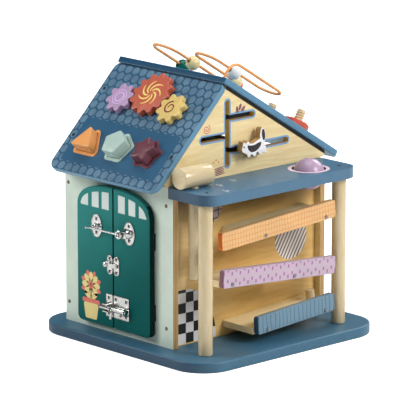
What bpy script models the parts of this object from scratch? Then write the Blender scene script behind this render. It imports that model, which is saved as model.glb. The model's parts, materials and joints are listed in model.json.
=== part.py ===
"""Wooden activity house: a toy house on a base board, with latched doors, gears, shape blocks,
a bead maze, a wall maze, a ball run with three ramps and a mallet.

Metres, +Z up. The origin is the middle of the base board's underside. The doors face -Y, the ball
run stands at +X, and the ridge of the roof runs along X.
"""

from math import asin, atan2, cos, hypot, pi, radians, sin, sqrt, tan

import bmesh
import bpy
from mathutils import Matrix, Vector

# Gaps, cuts and steps that all pieces share
SEAT_GAP = 0.0003
OVERRUN = 0.002
BOARD = 0.009
EDGE_EASE = 0.0008
ROUND_STEPS = 20
FINE_STEPS = 32
SMALL_STEPS = 16
CORNER_STEPS = 5
END_STEPS = 2 * CORNER_STEPS
ARCH_STEPS = 3 * CORNER_STEPS
HALF_TURN_STEPS = 12
BLOCK_CORNER_STEPS = 3
NUT_CORNER_STEPS = 4
PLATE_CORNER_STEPS = 2
SHARP_ANGLE = radians(35)

# Base board
BASE_LENGTH = 0.348
BASE_DEPTH = 0.350
BASE_THICKNESS = 0.015
BASE_CORNER = 0.050
BASE_EASE = 0.002

# Front and back panels, which stand on the base and share one outline
PANEL_LEFT_X = -0.140
PANEL_RIGHT_X = 0.084
PANEL_FACE_Y = 0.144
PANEL_TOP_Z = 0.240

# Gable walls, whose upper part widens over the panels' tops
PORCH_WALL_X = 0.074
OUTER_WALL_X = -0.137
GABLE_FRONT_Y = -0.150
GABLE_BACK_Y = 0.153
GABLE_FRONT_CORNER = 0.003
GABLE_BACK_CORNER = 0.0045

# Roof boards: how the front one lies over the front panel, and the back one's height over the
# panels' tops at the wall's back end
ROOF_LEFT_X = -0.142
ROOF_RIGHT_X = 0.079
ROOF_CORNER = 0.015
FRONT_PITCH = radians(45.2)
FRONT_SLOPE_LENGTH = 0.1849
FRONT_EAVE_REACH = 0.0308
FRONT_ROOF_LIFT = 0.0178
BACK_EAVE_LIFT = 0.00884
BACK_SLOPE_LENGTH = 0.261

# Maze slots in the porch wall
SLOT_WIDTH = 0.008
SLOT_MAIN_Y = -0.0344
SLOT_BOTTOM_Z = 0.2525
SLOT_TOP_Z = 0.346
SLOT_UPPER_Z = 0.3205
SLOT_UPPER_END_Y = 0.0166
SLOT_MIDDLE_Z = 0.296
SLOT_MIDDLE_END_Y = -0.0846
SLOT_LOWER_Z = 0.275
SLOT_LOWER_END_Y = 0.0814

# Slider that rides in the lower slot
SLIDER_Y = 0.004
STEM_DIAMETER = 0.007
COLLAR_DIAMETER = 0.014
COLLAR_LENGTH = 0.005
RETAINER_DIAMETER = 0.016
RETAINER_THICKNESS = 0.004
TENON_LENGTH = 0.0053
FIGURE_THICKNESS = 0.010
FIGURE_WIDTH = 0.049
FIGURE_HEIGHT = 0.040
FIGURE_BELOW_STEM = 0.012
FIGURE_AHEAD_OF_STEM = 0.027
FIGURE_EASE = 0.001
FIGURE_CURVE_STEPS = 3

# Slider's figure, a standing animal, in shares of its width and height, from the hind paw
# anticlockwise
FIGURE_SHARES = (
    (0.255, 0.050), (0.296, 0.025), (0.337, 0.050), (0.408, 0.125), (0.480, 0.050),
    (0.520, 0.025), (0.561, 0.063), (0.633, 0.175), (0.694, 0.075), (0.735, 0.050),
    (0.776, 0.075), (0.827, 0.113), (0.969, 0.075), (1.000, 0.125), (0.959, 0.300),
    (0.918, 0.450), (0.949, 0.700), (0.918, 0.875), (0.837, 1.000), (0.765, 0.950),
    (0.724, 0.775), (0.724, 0.638), (0.633, 0.588), (0.469, 0.513), (0.347, 0.525),
    (0.276, 0.613), (0.214, 0.563), (0.163, 0.563), (0.092, 0.600), (0.061, 0.475),
    (0.031, 0.350), (0.061, 0.250), (0.184, 0.175), (0.235, 0.113),
)

# Porch shelf and its two posts
SHELF_THICKNESS = 0.015
SHELF_OUTER_X = 0.153
SHELF_HALF_WIDTH = 0.144
SHELF_CORNER = 0.022
POST_DIAMETER = 0.020
POST_X = 0.1318
POST_FRONT_Y = -0.1285
POST_BACK_Y = 0.1245
POST_EASE = 0.001

# Ball, its hole in the shelf and the grip ring in the hole's groove
BALL_DIAMETER = 0.045
BALL_X = 0.116
BALL_Y = 0.0808
BALL_HOLE_CLEARANCE = 0.0013
GRIP_RING_HEIGHT = 0.0026
GRIP_RING_THICKNESS = 0.0034
GRIP_CROWN_SHARE = 0.25
GRIP_BELOW_TOP = 0.0075

# Mallet that stands in the shelf
MALLET_X = 0.095
MALLET_Y = -0.1165
MALLET_HEAD_DIAMETER = 0.030
MALLET_HEAD_LENGTH = 0.054
MALLET_HEAD_CHAMFER = 0.002
HANDLE_DIAMETER = 0.014
HANDLE_BELOW_SHELF = 0.113
HANDLE_IN_HEAD = 0.0217
HANDLE_EASE = 0.0015
HANDLE_HOLE_CLEARANCE = 0.00075

# Ramps: a floor board against the porch wall and a fence board along its outer edge
RAMP_FLOOR_WIDTH = 0.0594
FENCE_HEIGHT = 0.0253
FENCE_CORNER = 0.004
TOP_RAMP_Z = 0.1643
TOP_RAMP_LEAN = radians(3.7133)
TOP_FLOOR_START_Y = -0.045
TOP_FLOOR_END_Y = 0.107
TOP_FENCE_START_Y = -0.1076
TOP_FENCE_END_Y = 0.108
MIDDLE_RAMP_Z = 0.098
MIDDLE_RAMP_LEAN = radians(-3.9415)
MIDDLE_FLOOR_START_Y = -0.106
MIDDLE_FLOOR_END_Y = 0.045
MIDDLE_FENCE_START_Y = -0.1065
MIDDLE_FENCE_END_Y = 0.107
BOTTOM_RAMP_Z = 0.0308
BOTTOM_RAMP_LEAN = radians(3.7589)
BOTTOM_FLOOR_START_Y = -0.042
BOTTOM_FLOOR_END_Y = 0.107
BOTTOM_FENCE_START_Y = -0.040
BOTTOM_FENCE_END_Y = 0.1077
PEG_DIAMETER = 0.013
PEG_HEIGHT = 0.016
PEG_FROM_WALL = 0.0297
PEG_FROM_END = 0.009
PEG_EASE = 0.001

# Doors: two leaves under one arch, a superellipse that starts at the springing height
DOOR_SPLIT_X = -0.0274
DOOR_SPLIT_GAP = 0.0006
DOOR_HALF_WIDTH = 0.0761
DOOR_BOTTOM_Z = 0.0253
DOOR_SPRING_Z = 0.1905
DOOR_RISE = 0.034
ARCH_POWER = 2.3
DOOR_BACK_GAP = 0.0012
DOOR_OUTER_CORNER = 0.008
DOOR_INNER_CORNER = 0.003
DOOR_EASE = 0.0012
DOORWAY_INSET = 0.0145
DOORWAY_CORNER = 0.006

# Door hinges, let into the outer back corners of the doors
HINGE_INSET = 0.0018
KNUCKLE_DIAMETER = 0.0026
HINGE_WEB = 0.001
HINGE_LEAF = 0.0006
HINGE_LEAF_INNER = 0.008
HINGE_LEAF_OUTER = 0.002
HINGE_LENGTH = 0.0234
HINGE_LOW_Z = 0.060
HINGE_HIGH_Z = 0.160

# Hook latch: two oval plates, an open eye and the hook with its ring
OVAL_WIDTH = 0.022
OVAL_HEIGHT = 0.033
LATCH_PLATE = 0.0014
HOOK_Z = 0.1635
HOOK_PIVOT_X = -0.007
HOOK_LENGTH = 0.072
HOOK_WIRE = 0.003
HOOK_RING_BORE = 0.006
HOOK_RING_OUTER = 0.0132
HOOK_HEIGHT = 0.0085
HOOK_CURL = 0.0016
HOOK_CURL_LENGTH = 0.012
EYE_PLATE_X = -0.0608
PIVOT_PLATE_X = 0.007
OVAL_Z = 0.166
EYE_RADIUS = 0.004
EYE_WIRE = 0.002
EYE_START = radians(60)
EYE_END = radians(210)
EYE_BOSS_DIAMETER = 0.006
TONGUE_WIDTH = 0.009
TONGUE_THICKNESS = 0.0025
PIVOT_HEAD_DIAMETER = 0.0084
PIVOT_HEAD_HEIGHT = 0.0012
PIVOT_DOME_DIAMETER = 0.014

# Turn bar latch: two round-ended plates, a rest over the bar and the bar with its knob
BAR_PLATE_WIDTH = 0.011
BAR_PLATE_HEIGHT = 0.0275
BAR_Z = 0.1153
BAR_PIVOT_X = -0.0197
BAR_REST_X = -0.0334
BAR_KNOB_X = -0.0401
BAR_WIDTH = 0.006
BAR_THICKNESS = 0.0018
BAR_PIN_DIAMETER = 0.003
BAR_PIN_HEAD = 0.0055
BAR_PIN_HEAD_HEIGHT = 0.0008
BAR_KNOB_DIAMETER = 0.0092
BAR_KNOB_HEIGHT = 0.0046
KNOB_FOOT_SHARE = 0.6
KNOB_SWELL_SHARE = 0.4
KNOB_CROWN_SHARE = 0.8
KNOB_SHOULDER_SHARE = 0.85
BAR_REST_LENGTH = 0.007
BAR_REST_WIDTH = 0.0025

# Barrel bolt: a plate with two guide loops, an open keeper and the bolt with its lever
BOLT_Z = 0.055
BOLT_DIAMETER = 0.008
BOLT_TIP_X = -0.0512
BOLT_TIP_EASE = 0.0012
BOLT_TAIL = 0.0006
BOLT_PLATE_LEFT_X = -0.0255
BOLT_PLATE_RIGHT_X = 0.0056
KEEPER_LEFT_X = -0.0412
KEEPER_RIGHT_X = -0.0280
BOLT_PLATE_HEIGHT = 0.0325
BOLT_PLATE_LIFT = 0.0024
BOLT_PLATE_CORNER = 0.001
LOOP_WIDTH = 0.0016
LOOP_WALL = 0.0014
KEEPER_LOOP_LENGTH = 0.0096
LEVER_DIAMETER = 0.003
LEVER_REACH = 0.0045
LEVER_DROP = 0.017
LEVER_BALL = 0.0046

# Gears on the front roof: places across the roof and up the slope
GEAR_LIFT = 0.0006
GEAR_THICKNESS = 0.0094
GEAR_MODULE = 0.00544
TOOTH_HALF_DEPTH = 0.0027
TOOTH_CLEARANCE = 0.0005
TOOTH_FLATNESS = 0.8
TOOTH_STEPS = 8
LARGE_TEETH = 12
SMALL_TEETH = 8
LARGE_GEAR_X = -0.030
LARGE_GEAR_UP = 0.142
SMALL_GEAR_ACROSS = 0.052
GEAR_PIN_DIAMETER = 0.008
GEAR_PIN_RISE = 0.006

# Shape blocks in the front roof
BLOCK_UP = 0.0524
BLOCK_THICKNESS = 0.028
BLOCK_PROUD = 0.0165
BLOCK_CLEARANCE = 0.0005
BLOCK_CORNER = 0.002
BLOCK_EASE = 0.001
TRIANGLE_X = -0.090
TRIANGLE_BASE = 0.039
TRIANGLE_HEIGHT = 0.0336
PENTAGON_X = -0.032
PENTAGON_RADIUS = 0.020
STAR_X = 0.027
STAR_RADIUS = 0.021
STAR_INNER_RADIUS = 0.0125

# Bead wire over the back roof: strands across the roof, distances down the slope from the ridge
WIRE_DIAMETER = 0.0035
WIRE_HEIGHT = 0.031
STRAND_1_X = -0.114
STRAND_2_X = -0.0665
STRAND_3_X = -0.0275
STRAND_4_X = 0.0143
STRAND_5_X = 0.0555
UPPER_LOOPS_DOWN = 0.037
LOWER_LOOPS_DOWN = 0.118
WIRE_BEND = 0.020
WIRE_FOOT_DOWN = 0.130
WIRE_SIDES = 8
LOOP_STEPS = 10

# Beads on the wire
BEAD_DIAMETER = 0.0207
BEAD_BORE = 0.0074
BEAD_STEPS = 18
BEAD_ARC_STEPS = 8
TEAL_BEAD_DOWN = 0.093
CREAM_BEAD_DOWN = 0.065
WHITE_BEAD_DOWN = 0.069
LOOP_BEAD_ANGLE = radians(12)
LOOP_BEAD_INWARD = 0.00144
LOOP_BEAD_HANG = 0.0003

# Threaded bolts and nuts on the back roof
STUD_DIAMETER = 0.013
STUD_RISE = 0.028
STUD_EASE = 0.001
STUD_DOWN = 0.185
STUD_RIGHT_X = 0.049
STUD_LEFT_X = -0.009
NUT_ACROSS = 0.034
NUT_CORNER = 0.006
NUT_HEIGHT = 0.011
NUT_EASE = 0.0015

# Heights and places that follow from the sizes above
BASE_TOP = BASE_THICKNESS + SEAT_GAP
PANEL_BACK_Y = PANEL_FACE_Y - BOARD
SHELF_Z = PANEL_TOP_Z - SHELF_THICKNESS
PORCH_X = PORCH_WALL_X + SEAT_GAP
FRONT_ALONG = Vector((0, cos(FRONT_PITCH), sin(FRONT_PITCH)))
FRONT_OUT = Vector((0, -sin(FRONT_PITCH), cos(FRONT_PITCH)))
FRONT_EAVE = Vector((
    0,
    -PANEL_FACE_Y - FRONT_EAVE_REACH,
    PANEL_TOP_Z + FRONT_ROOF_LIFT + BOARD / cos(FRONT_PITCH) - FRONT_EAVE_REACH * tan(FRONT_PITCH),
))
FRONT_TOP = FRONT_EAVE + FRONT_ALONG * FRONT_SLOPE_LENGTH
BACK_RUN = GABLE_BACK_Y - FRONT_TOP.y
BACK_FALL = FRONT_TOP.z - PANEL_TOP_Z - BACK_EAVE_LIFT
BACK_PITCH = atan2(BACK_FALL, BACK_RUN) + asin(SEAT_GAP / hypot(BACK_RUN, BACK_FALL))
BACK_ALONG = Vector((0, cos(BACK_PITCH), -sin(BACK_PITCH)))
BACK_OUT = Vector((0, sin(BACK_PITCH), cos(BACK_PITCH)))
RIDGE = FRONT_TOP + BACK_OUT * (BOARD + SEAT_GAP)
DOOR_THICKNESS = BOARD
DOOR_FRONT_Y = -PANEL_FACE_Y - DOOR_BACK_GAP - DOOR_THICKNESS
LEFT_HINGE_X = DOOR_SPLIT_X - DOOR_HALF_WIDTH + HINGE_INSET
RIGHT_HINGE_X = DOOR_SPLIT_X + DOOR_HALF_WIDTH - HINGE_INSET
HINGE_DEPTH = HINGE_INSET - DOOR_THICKNESS
PLATE_TOP = SEAT_GAP + LATCH_PLATE
BOLT_HEIGHT = PLATE_TOP + SEAT_GAP + BOLT_DIAMETER / 2


def clear_scene():
    """Remove the objects that a new file starts with."""
    for item in list(bpy.data.objects):
        bpy.data.objects.remove(item, do_unlink=True)


def finish(name, red, green, blue, roughness=0.5, metallic=0.0):
    """Principled material of one plain colour, given as linear shares."""
    look = bpy.data.materials.new(name)
    look.use_nodes = True
    shader = look.node_tree.nodes["Principled BSDF"]
    shader.inputs["Base Color"].default_value = (red, green, blue, 1)
    shader.inputs["Roughness"].default_value = roughness
    shader.inputs["Metallic"].default_value = metallic
    look.diffuse_color = (red, green, blue, 1)
    return look


def station(name, origin, along, across):
    """Empty whose local X and Y point along the two given directions."""
    x = Vector(along).normalized()
    y = Vector(across).normalized()
    empty = bpy.data.objects.new(name, None)
    bpy.context.scene.collection.objects.link(empty)
    turn = Matrix((x, y, x.cross(y))).transposed().to_4x4()
    empty.matrix_world = Matrix.Translation(origin) @ turn
    return empty


def place(name, shape, parent, pivot=(0, 0, 0)):
    """Object of a shape drawn in its station's frame, with its origin moved to the pivot."""
    bmesh.ops.translate(shape, verts=shape.verts, vec=-Vector(pivot))
    bmesh.ops.recalc_face_normals(shape, faces=shape.faces)
    mesh = bpy.data.meshes.new(name)
    shape.to_mesh(mesh)
    shape.free()
    item = bpy.data.objects.new(name, mesh)
    bpy.context.scene.collection.objects.link(item)
    item.parent = parent
    item.location = pivot
    return item


def piece(name, shape, look, parent, pivot=(0, 0, 0)):
    """Placed object with its material and smooth round faces."""
    item = place(name, shape, parent, pivot)
    item.data.materials.append(look)
    item.data.shade_smooth()
    item.data.set_sharp_from_angle(angle=SHARP_ANGLE)
    return item


def combine(item, shape, operation):
    """Boolean of a piece with a helper shape drawn in the same station's frame."""
    helper = place(item.name + "_" + operation.lower(), shape, item.parent, item.location.copy())
    helper.hide_render = True
    helper.display_type = "WIRE"
    modifier = item.modifiers.new(operation.title(), "BOOLEAN")
    modifier.operation = operation
    modifier.object = helper
    modifier.solver = "EXACT"


def cut(item, shape):
    """Take a shape away from a piece."""
    combine(item, shape, "DIFFERENCE")


def fuse(item, shape):
    """Add a shape to a piece."""
    combine(item, shape, "UNION")


def arc(centre_x, centre_y, radius, start, end, steps):
    """Points along a circle from one angle to the other, both ends included."""
    angles = [start + (end - start) * i / steps for i in range(steps + 1)]
    return [(centre_x + radius * cos(a), centre_y + radius * sin(a)) for a in angles]


def circle(centre_x, centre_y, radius, steps):
    """Points of a full circle, each once."""
    return arc(centre_x, centre_y, radius, 0, 2 * pi, steps)[:-1]


def rounded(corners, radii, steps=CORNER_STEPS):
    """Outline through the corners in counterclockwise order, each rounded to its radius."""
    count = len(corners)
    outline = []
    for i, radius in enumerate(radii):
        corner = Vector(corners[i])
        back = (Vector(corners[i - 1]) - corner).normalized()
        ahead = (Vector(corners[(i + 1) % count]) - corner).normalized()
        if radius == 0:
            outline.append(tuple(corner))
            continue
        half = back.angle(ahead) / 2
        centre = corner + (back + ahead).normalized() * (radius / sin(half))
        first = corner + back * (radius / tan(half)) - centre
        last = corner + ahead * (radius / tan(half)) - centre
        start = atan2(first.y, first.x)
        turn = first.angle_signed(last) * -1
        outline += arc(centre.x, centre.y, radius, start, start + turn, steps)
    return outline


def rectangle(left, right, low, high):
    """Corners of a rectangle, counterclockwise."""
    return [(left, low), (right, low), (right, high), (left, high)]


def inset(outline, distance):
    """Outline moved inwards, or outwards for a distance below zero, with its corners mitred."""
    moved = []
    for i, point in enumerate(outline):
        here = Vector(point)
        before = (here - Vector(outline[i - 1])).normalized()
        after = (Vector(outline[(i + 1) % len(outline)]) - here).normalized()
        inwards_before = Vector((-before.y, before.x))
        inwards_after = Vector((-after.y, after.x))
        share = 1 / (1 + inwards_before.dot(inwards_after))
        moved.append(tuple(here + (inwards_before + inwards_after) * distance * share))
    return moved


def slab(outline, low, high, holes=(), ease=0.0):
    """Plate between two heights, with through holes and, where asked, eased outer edges."""
    shape = bmesh.new()
    levels = [(low, 0.0), (high, 0.0)]
    if ease:
        levels = [(low, ease), (low + ease, 0.0), (high - ease, 0.0), (high, ease)]
    caps = [[], []]
    for i, loop in enumerate([outline, *holes]):
        rings = []
        for height, draw_in in levels:
            points = inset(loop, draw_in) if i == 0 and draw_in else loop
            rings.append([shape.verts.new((x, y, height)) for x, y in points])
        for lower, upper in zip(rings, rings[1:]):
            for j in range(len(loop)):
                shape.faces.new((lower[j - 1], lower[j], upper[j], upper[j - 1]))
        caps[0].append(rings[0])
        caps[1].append(rings[-1])
    for rings in caps:
        if len(rings) == 1:
            shape.faces.new(rings[0])
            continue
        edges = [shape.edges.get((ring[j - 1], ring[j])) for ring in rings for j in range(len(ring))]
        bmesh.ops.triangle_fill(shape, use_beauty=True, use_dissolve=False, edges=edges)
    return shape


def turned(profile, steps=ROUND_STEPS, closed=False):
    """Solid turned about local Z from (radius, height) points, closed on itself for a ring."""
    shape = bmesh.new()
    rings = []
    for radius, height in profile:
        if radius == 0:
            rings.append([shape.verts.new((0, 0, height))])
            continue
        rings.append([shape.verts.new((x, y, height)) for x, y in circle(0, 0, radius, steps)])
    pairs = list(zip(rings, rings[1:]))
    if closed:
        pairs.append((rings[-1], rings[0]))
    for lower, upper in pairs:
        for j in range(steps):
            corners = [lower[(j - 1) % len(lower)], lower[j % len(lower)]]
            corners += [upper[j % len(upper)], upper[(j - 1) % len(upper)]]
            shape.faces.new(list(dict.fromkeys(corners)))
    return shape


def rod_profile(radius, low, high, ease=0.0):
    """Half section of a solid round rod between two heights, with eased ends where asked."""
    if ease == 0:
        return [(0, low), (radius, low), (radius, high), (0, high)]
    lower = [(0, low), (radius - ease, low), (radius, low + ease)]
    return lower + [(radius, high - ease), (radius - ease, high), (0, high)]


def tube(route, radius, sides):
    """Round bar along a route of points, its section carried along without twist."""
    shape = bmesh.new()
    points = [Vector(point) for point in route]
    side = None
    rings = []
    for i, point in enumerate(points):
        ahead = (points[min(i + 1, len(points) - 1)] - points[max(i - 1, 0)]).normalized()
        if side is None:
            side = ahead.orthogonal().normalized()
        side = (side - ahead * side.dot(ahead)).normalized()
        other = ahead.cross(side)
        turns = circle(0, 0, radius, sides)
        rings.append([shape.verts.new(point + side * x + other * y) for x, y in turns])
    for lower, upper in zip(rings, rings[1:]):
        for j in range(sides):
            shape.faces.new((lower[j - 1], lower[j], upper[j], upper[j - 1]))
    shape.faces.new(rings[0])
    shape.faces.new(rings[-1])
    return shape


def moved(shape, offset, turn=None):
    """Shape turned by a rotation matrix, then moved by an offset."""
    if turn:
        bmesh.ops.rotate(shape, verts=shape.verts, cent=(0, 0, 0), matrix=turn)
    bmesh.ops.translate(shape, verts=shape.verts, vec=offset)
    return shape


def superellipse(half_width, rise, steps):
    """Quarter of a superellipse arch, from its foot at the right to its crown."""
    angles = [pi / 2 * i / steps for i in range(steps + 1)]
    power = 2 / ARCH_POWER
    return [(half_width * cos(a) ** power, rise * sin(a) ** power) for a in angles[:-1]] + [(0, rise)]


def below_front_roof(y):
    """Height of the line one seat gap under the front roof board."""
    drop = (BOARD + SEAT_GAP) / cos(FRONT_PITCH)
    return FRONT_EAVE.z + (y - FRONT_EAVE.y) * tan(FRONT_PITCH) - drop


def below_back_roof(y):
    """Height of the line one seat gap under the back roof board."""
    drop = (BOARD + SEAT_GAP) / cos(BACK_PITCH)
    return RIDGE.z - (y - RIDGE.y) * tan(BACK_PITCH) - drop


def gable_outline():
    """Wall between the panels, widening over their tops and running up under both roof boards."""
    rise = below_back_roof(0) - below_front_roof(0)
    apex_y = rise / (tan(FRONT_PITCH) + tan(BACK_PITCH))
    inner = PANEL_BACK_Y - SEAT_GAP
    shoulder = PANEL_TOP_Z + SEAT_GAP
    corners = [
        (-inner, BASE_TOP),
        (inner, BASE_TOP),
        (inner, shoulder),
        (GABLE_BACK_Y, shoulder),
        (GABLE_BACK_Y, below_back_roof(GABLE_BACK_Y)),
        (apex_y, below_front_roof(apex_y)),
        (GABLE_FRONT_Y, below_front_roof(GABLE_FRONT_Y)),
        (GABLE_FRONT_Y, shoulder),
        (-inner, shoulder),
    ]
    return rounded(corners, [0, 0, 0, GABLE_BACK_CORNER, 0, 0, 0, GABLE_FRONT_CORNER, 0])


def maze_outline():
    """One upright slot with two branches to the back and one to the front, all round-ended."""
    half = SLOT_WIDTH / 2
    left = SLOT_MAIN_Y - half
    right = SLOT_MAIN_Y + half
    quarter = pi / 2
    outline = arc(SLOT_MAIN_Y, SLOT_BOTTOM_Z + half, half, -2 * quarter, 0, END_STEPS)
    branches = [(SLOT_LOWER_Z, SLOT_LOWER_END_Y), (SLOT_UPPER_Z, SLOT_UPPER_END_Y)]
    for height, end in branches:
        outline.append((right, height - half))
        outline += arc(end - half, height, half, -quarter, quarter, END_STEPS)
        outline.append((right, height + half))
    outline += arc(SLOT_MAIN_Y, SLOT_TOP_Z - half, half, 0, 2 * quarter, END_STEPS)
    outline.append((left, SLOT_MIDDLE_Z + half))
    outline += arc(SLOT_MIDDLE_END_Y + half, SLOT_MIDDLE_Z, half, quarter, 3 * quarter, END_STEPS)
    outline.append((left, SLOT_MIDDLE_Z - half))
    return outline


def build_base(looks):
    """Base board, lying flat with round corners."""
    frame = station("base", (0, 0, 0), (1, 0, 0), (0, 1, 0))
    half_length = BASE_LENGTH / 2
    half_depth = BASE_DEPTH / 2
    corners = rectangle(-half_length, half_length, -half_depth, half_depth)
    outline = rounded(corners, [BASE_CORNER] * 4, END_STEPS)
    piece("base_board", slab(outline, 0, BASE_THICKNESS, ease=BASE_EASE), looks["blue"], frame)


def panel_outline():
    """Panel with a notch for the shelf at its upper porch corner."""
    return [
        (PANEL_LEFT_X, BASE_TOP),
        (PANEL_RIGHT_X, BASE_TOP),
        (PANEL_RIGHT_X, SHELF_Z - SEAT_GAP),
        (PORCH_WALL_X, SHELF_Z - SEAT_GAP),
        (PORCH_WALL_X, PANEL_TOP_Z),
        (PANEL_LEFT_X, PANEL_TOP_Z),
    ]


def doorway_outline():
    """Arched opening behind the doors, smaller than they are by the same inset all round."""
    half = DOOR_HALF_WIDTH - DOORWAY_INSET
    low = DOOR_BOTTOM_Z + DOORWAY_INSET
    arch = superellipse(half, DOOR_RISE - DOORWAY_INSET, END_STEPS)
    foot = rounded(
        [(-half, low), (half, low), (half, DOOR_SPRING_Z), (-half, DOOR_SPRING_Z)],
        [DOORWAY_CORNER, DOORWAY_CORNER, 0, 0],
    )[:-2]
    right = [(x, DOOR_SPRING_Z + z) for x, z in arch]
    left = [(-x, z) for x, z in reversed(right[:-1])]
    return [(DOOR_SPLIT_X + x, z) for x, z in foot + right + left]


def build_panels(looks):
    """Front panel with its doorway, and the closed back panel."""
    front = station("front_panel_back", (0, -PANEL_BACK_Y, 0), (1, 0, 0), (0, 0, 1))
    shape = slab(panel_outline(), 0, BOARD, holes=[doorway_outline()])
    piece("front_panel", shape, looks["mint"], front)
    back = station("back_panel_face", (0, PANEL_FACE_Y, 0), (1, 0, 0), (0, 0, 1))
    piece("back_panel", slab(panel_outline(), 0, BOARD), looks["mint"], back)


def build_walls(looks):
    """Porch wall with the maze slots, and the plain outer wall."""
    porch = station("porch_wall_inside", (PORCH_WALL_X - BOARD, 0, 0), (0, 1, 0), (0, 0, 1))
    shape = slab(gable_outline(), 0, BOARD, holes=[maze_outline()])
    piece("porch_wall", shape, looks["wood"], porch)
    outer = station("outer_wall_face", (OUTER_WALL_X, 0, 0), (0, 1, 0), (0, 0, 1))
    piece("outer_wall", slab(gable_outline(), 0, BOARD), looks["mint"], outer)


def triangle_outline():
    """Triangle with its base towards the eave, about the middle of its height."""
    low = -TRIANGLE_HEIGHT / 2
    corners = [(-TRIANGLE_BASE / 2, low), (TRIANGLE_BASE / 2, low), (0, -low)]
    return rounded(corners, [BLOCK_CORNER] * 3, BLOCK_CORNER_STEPS)


def pentagon_outline():
    """Regular pentagon with a corner towards the ridge."""
    corners = arc(0, 0, PENTAGON_RADIUS, pi / 2, 5 * pi / 2, 5)[:-1]
    return rounded(corners, [BLOCK_CORNER] * 5, BLOCK_CORNER_STEPS)


def star_outline():
    """Five-pointed star with a point towards the ridge."""
    points = arc(0, 0, STAR_RADIUS, pi / 2, 5 * pi / 2, 5)[:-1]
    notches = arc(0, 0, STAR_INNER_RADIUS, 7 * pi / 10, 27 * pi / 10, 5)[:-1]
    corners = [corner for pair in zip(points, notches) for corner in pair]
    return rounded(corners, [BLOCK_CORNER, BLOCK_CORNER / 2] * 5, BLOCK_CORNER_STEPS)


def shifted(outline, x, y):
    """Outline moved in its own plane."""
    return [(x + px, y + py) for px, py in outline]


def small_gear_up():
    """Distance up the slope of the small gears, which mesh with the large one."""
    reach = GEAR_MODULE * (LARGE_TEETH + SMALL_TEETH) / 2
    return LARGE_GEAR_UP - sqrt(reach**2 - SMALL_GEAR_ACROSS**2)


def gear_places():
    """Name, place across, place up the slope and tooth count of each gear."""
    up = small_gear_up()
    return [
        ("gear_coral", LARGE_GEAR_X, LARGE_GEAR_UP, LARGE_TEETH),
        ("gear_lavender", LARGE_GEAR_X - SMALL_GEAR_ACROSS, up, SMALL_TEETH),
        ("gear_yellow", LARGE_GEAR_X + SMALL_GEAR_ACROSS, up, SMALL_TEETH),
    ]


def block_places():
    """Name, outline and place across of each shape block."""
    return [
        ("block_triangle", triangle_outline(), TRIANGLE_X),
        ("block_pentagon", pentagon_outline(), PENTAGON_X),
        ("block_star", star_outline(), STAR_X),
    ]


def bead_foot_ends():
    """Where the wire's two ends enter the roof: place across and distance down the slope."""
    return [(STRAND_5_X, UPPER_LOOPS_DOWN - WIRE_BEND), (STRAND_1_X, WIRE_FOOT_DOWN)]


def build_roofs(looks):
    """Both roof boards with their holes. Each station lies on the board's upper face."""
    front = station("front_roof_face", FRONT_EAVE, (1, 0, 0), FRONT_ALONG)
    back = station("back_roof_face", RIDGE, (1, 0, 0), BACK_ALONG)
    pin_hole = GEAR_PIN_DIAMETER / 2 + SEAT_GAP
    holes = [circle(x, up, pin_hole, SMALL_STEPS) for _, x, up, _ in gear_places()]
    for _, outline, x in block_places():
        holes.append(shifted(inset(outline, -BLOCK_CLEARANCE), x, BLOCK_UP))
    corners = rectangle(ROOF_LEFT_X, ROOF_RIGHT_X, 0, FRONT_SLOPE_LENGTH)
    outline = rounded(corners, [ROOF_CORNER, ROOF_CORNER, 0, 0])
    piece("front_roof", slab(outline, -BOARD, 0, holes), looks["blue"], front)
    wire_hole = WIRE_DIAMETER / 2 + SEAT_GAP
    stud_hole = STUD_DIAMETER / 2 + SEAT_GAP
    holes = [circle(x, down, wire_hole, SMALL_STEPS) for x, down in bead_foot_ends()]
    holes += [circle(x, STUD_DOWN, stud_hole, ROUND_STEPS) for x in (STUD_LEFT_X, STUD_RIGHT_X)]
    corners = rectangle(ROOF_LEFT_X, ROOF_RIGHT_X, 0, BACK_SLOPE_LENGTH)
    outline = rounded(corners, [0, 0, ROOF_CORNER, ROOF_CORNER])
    piece("back_roof", slab(outline, -BOARD, 0, holes), looks["blue"], back)
    return front, back


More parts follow.
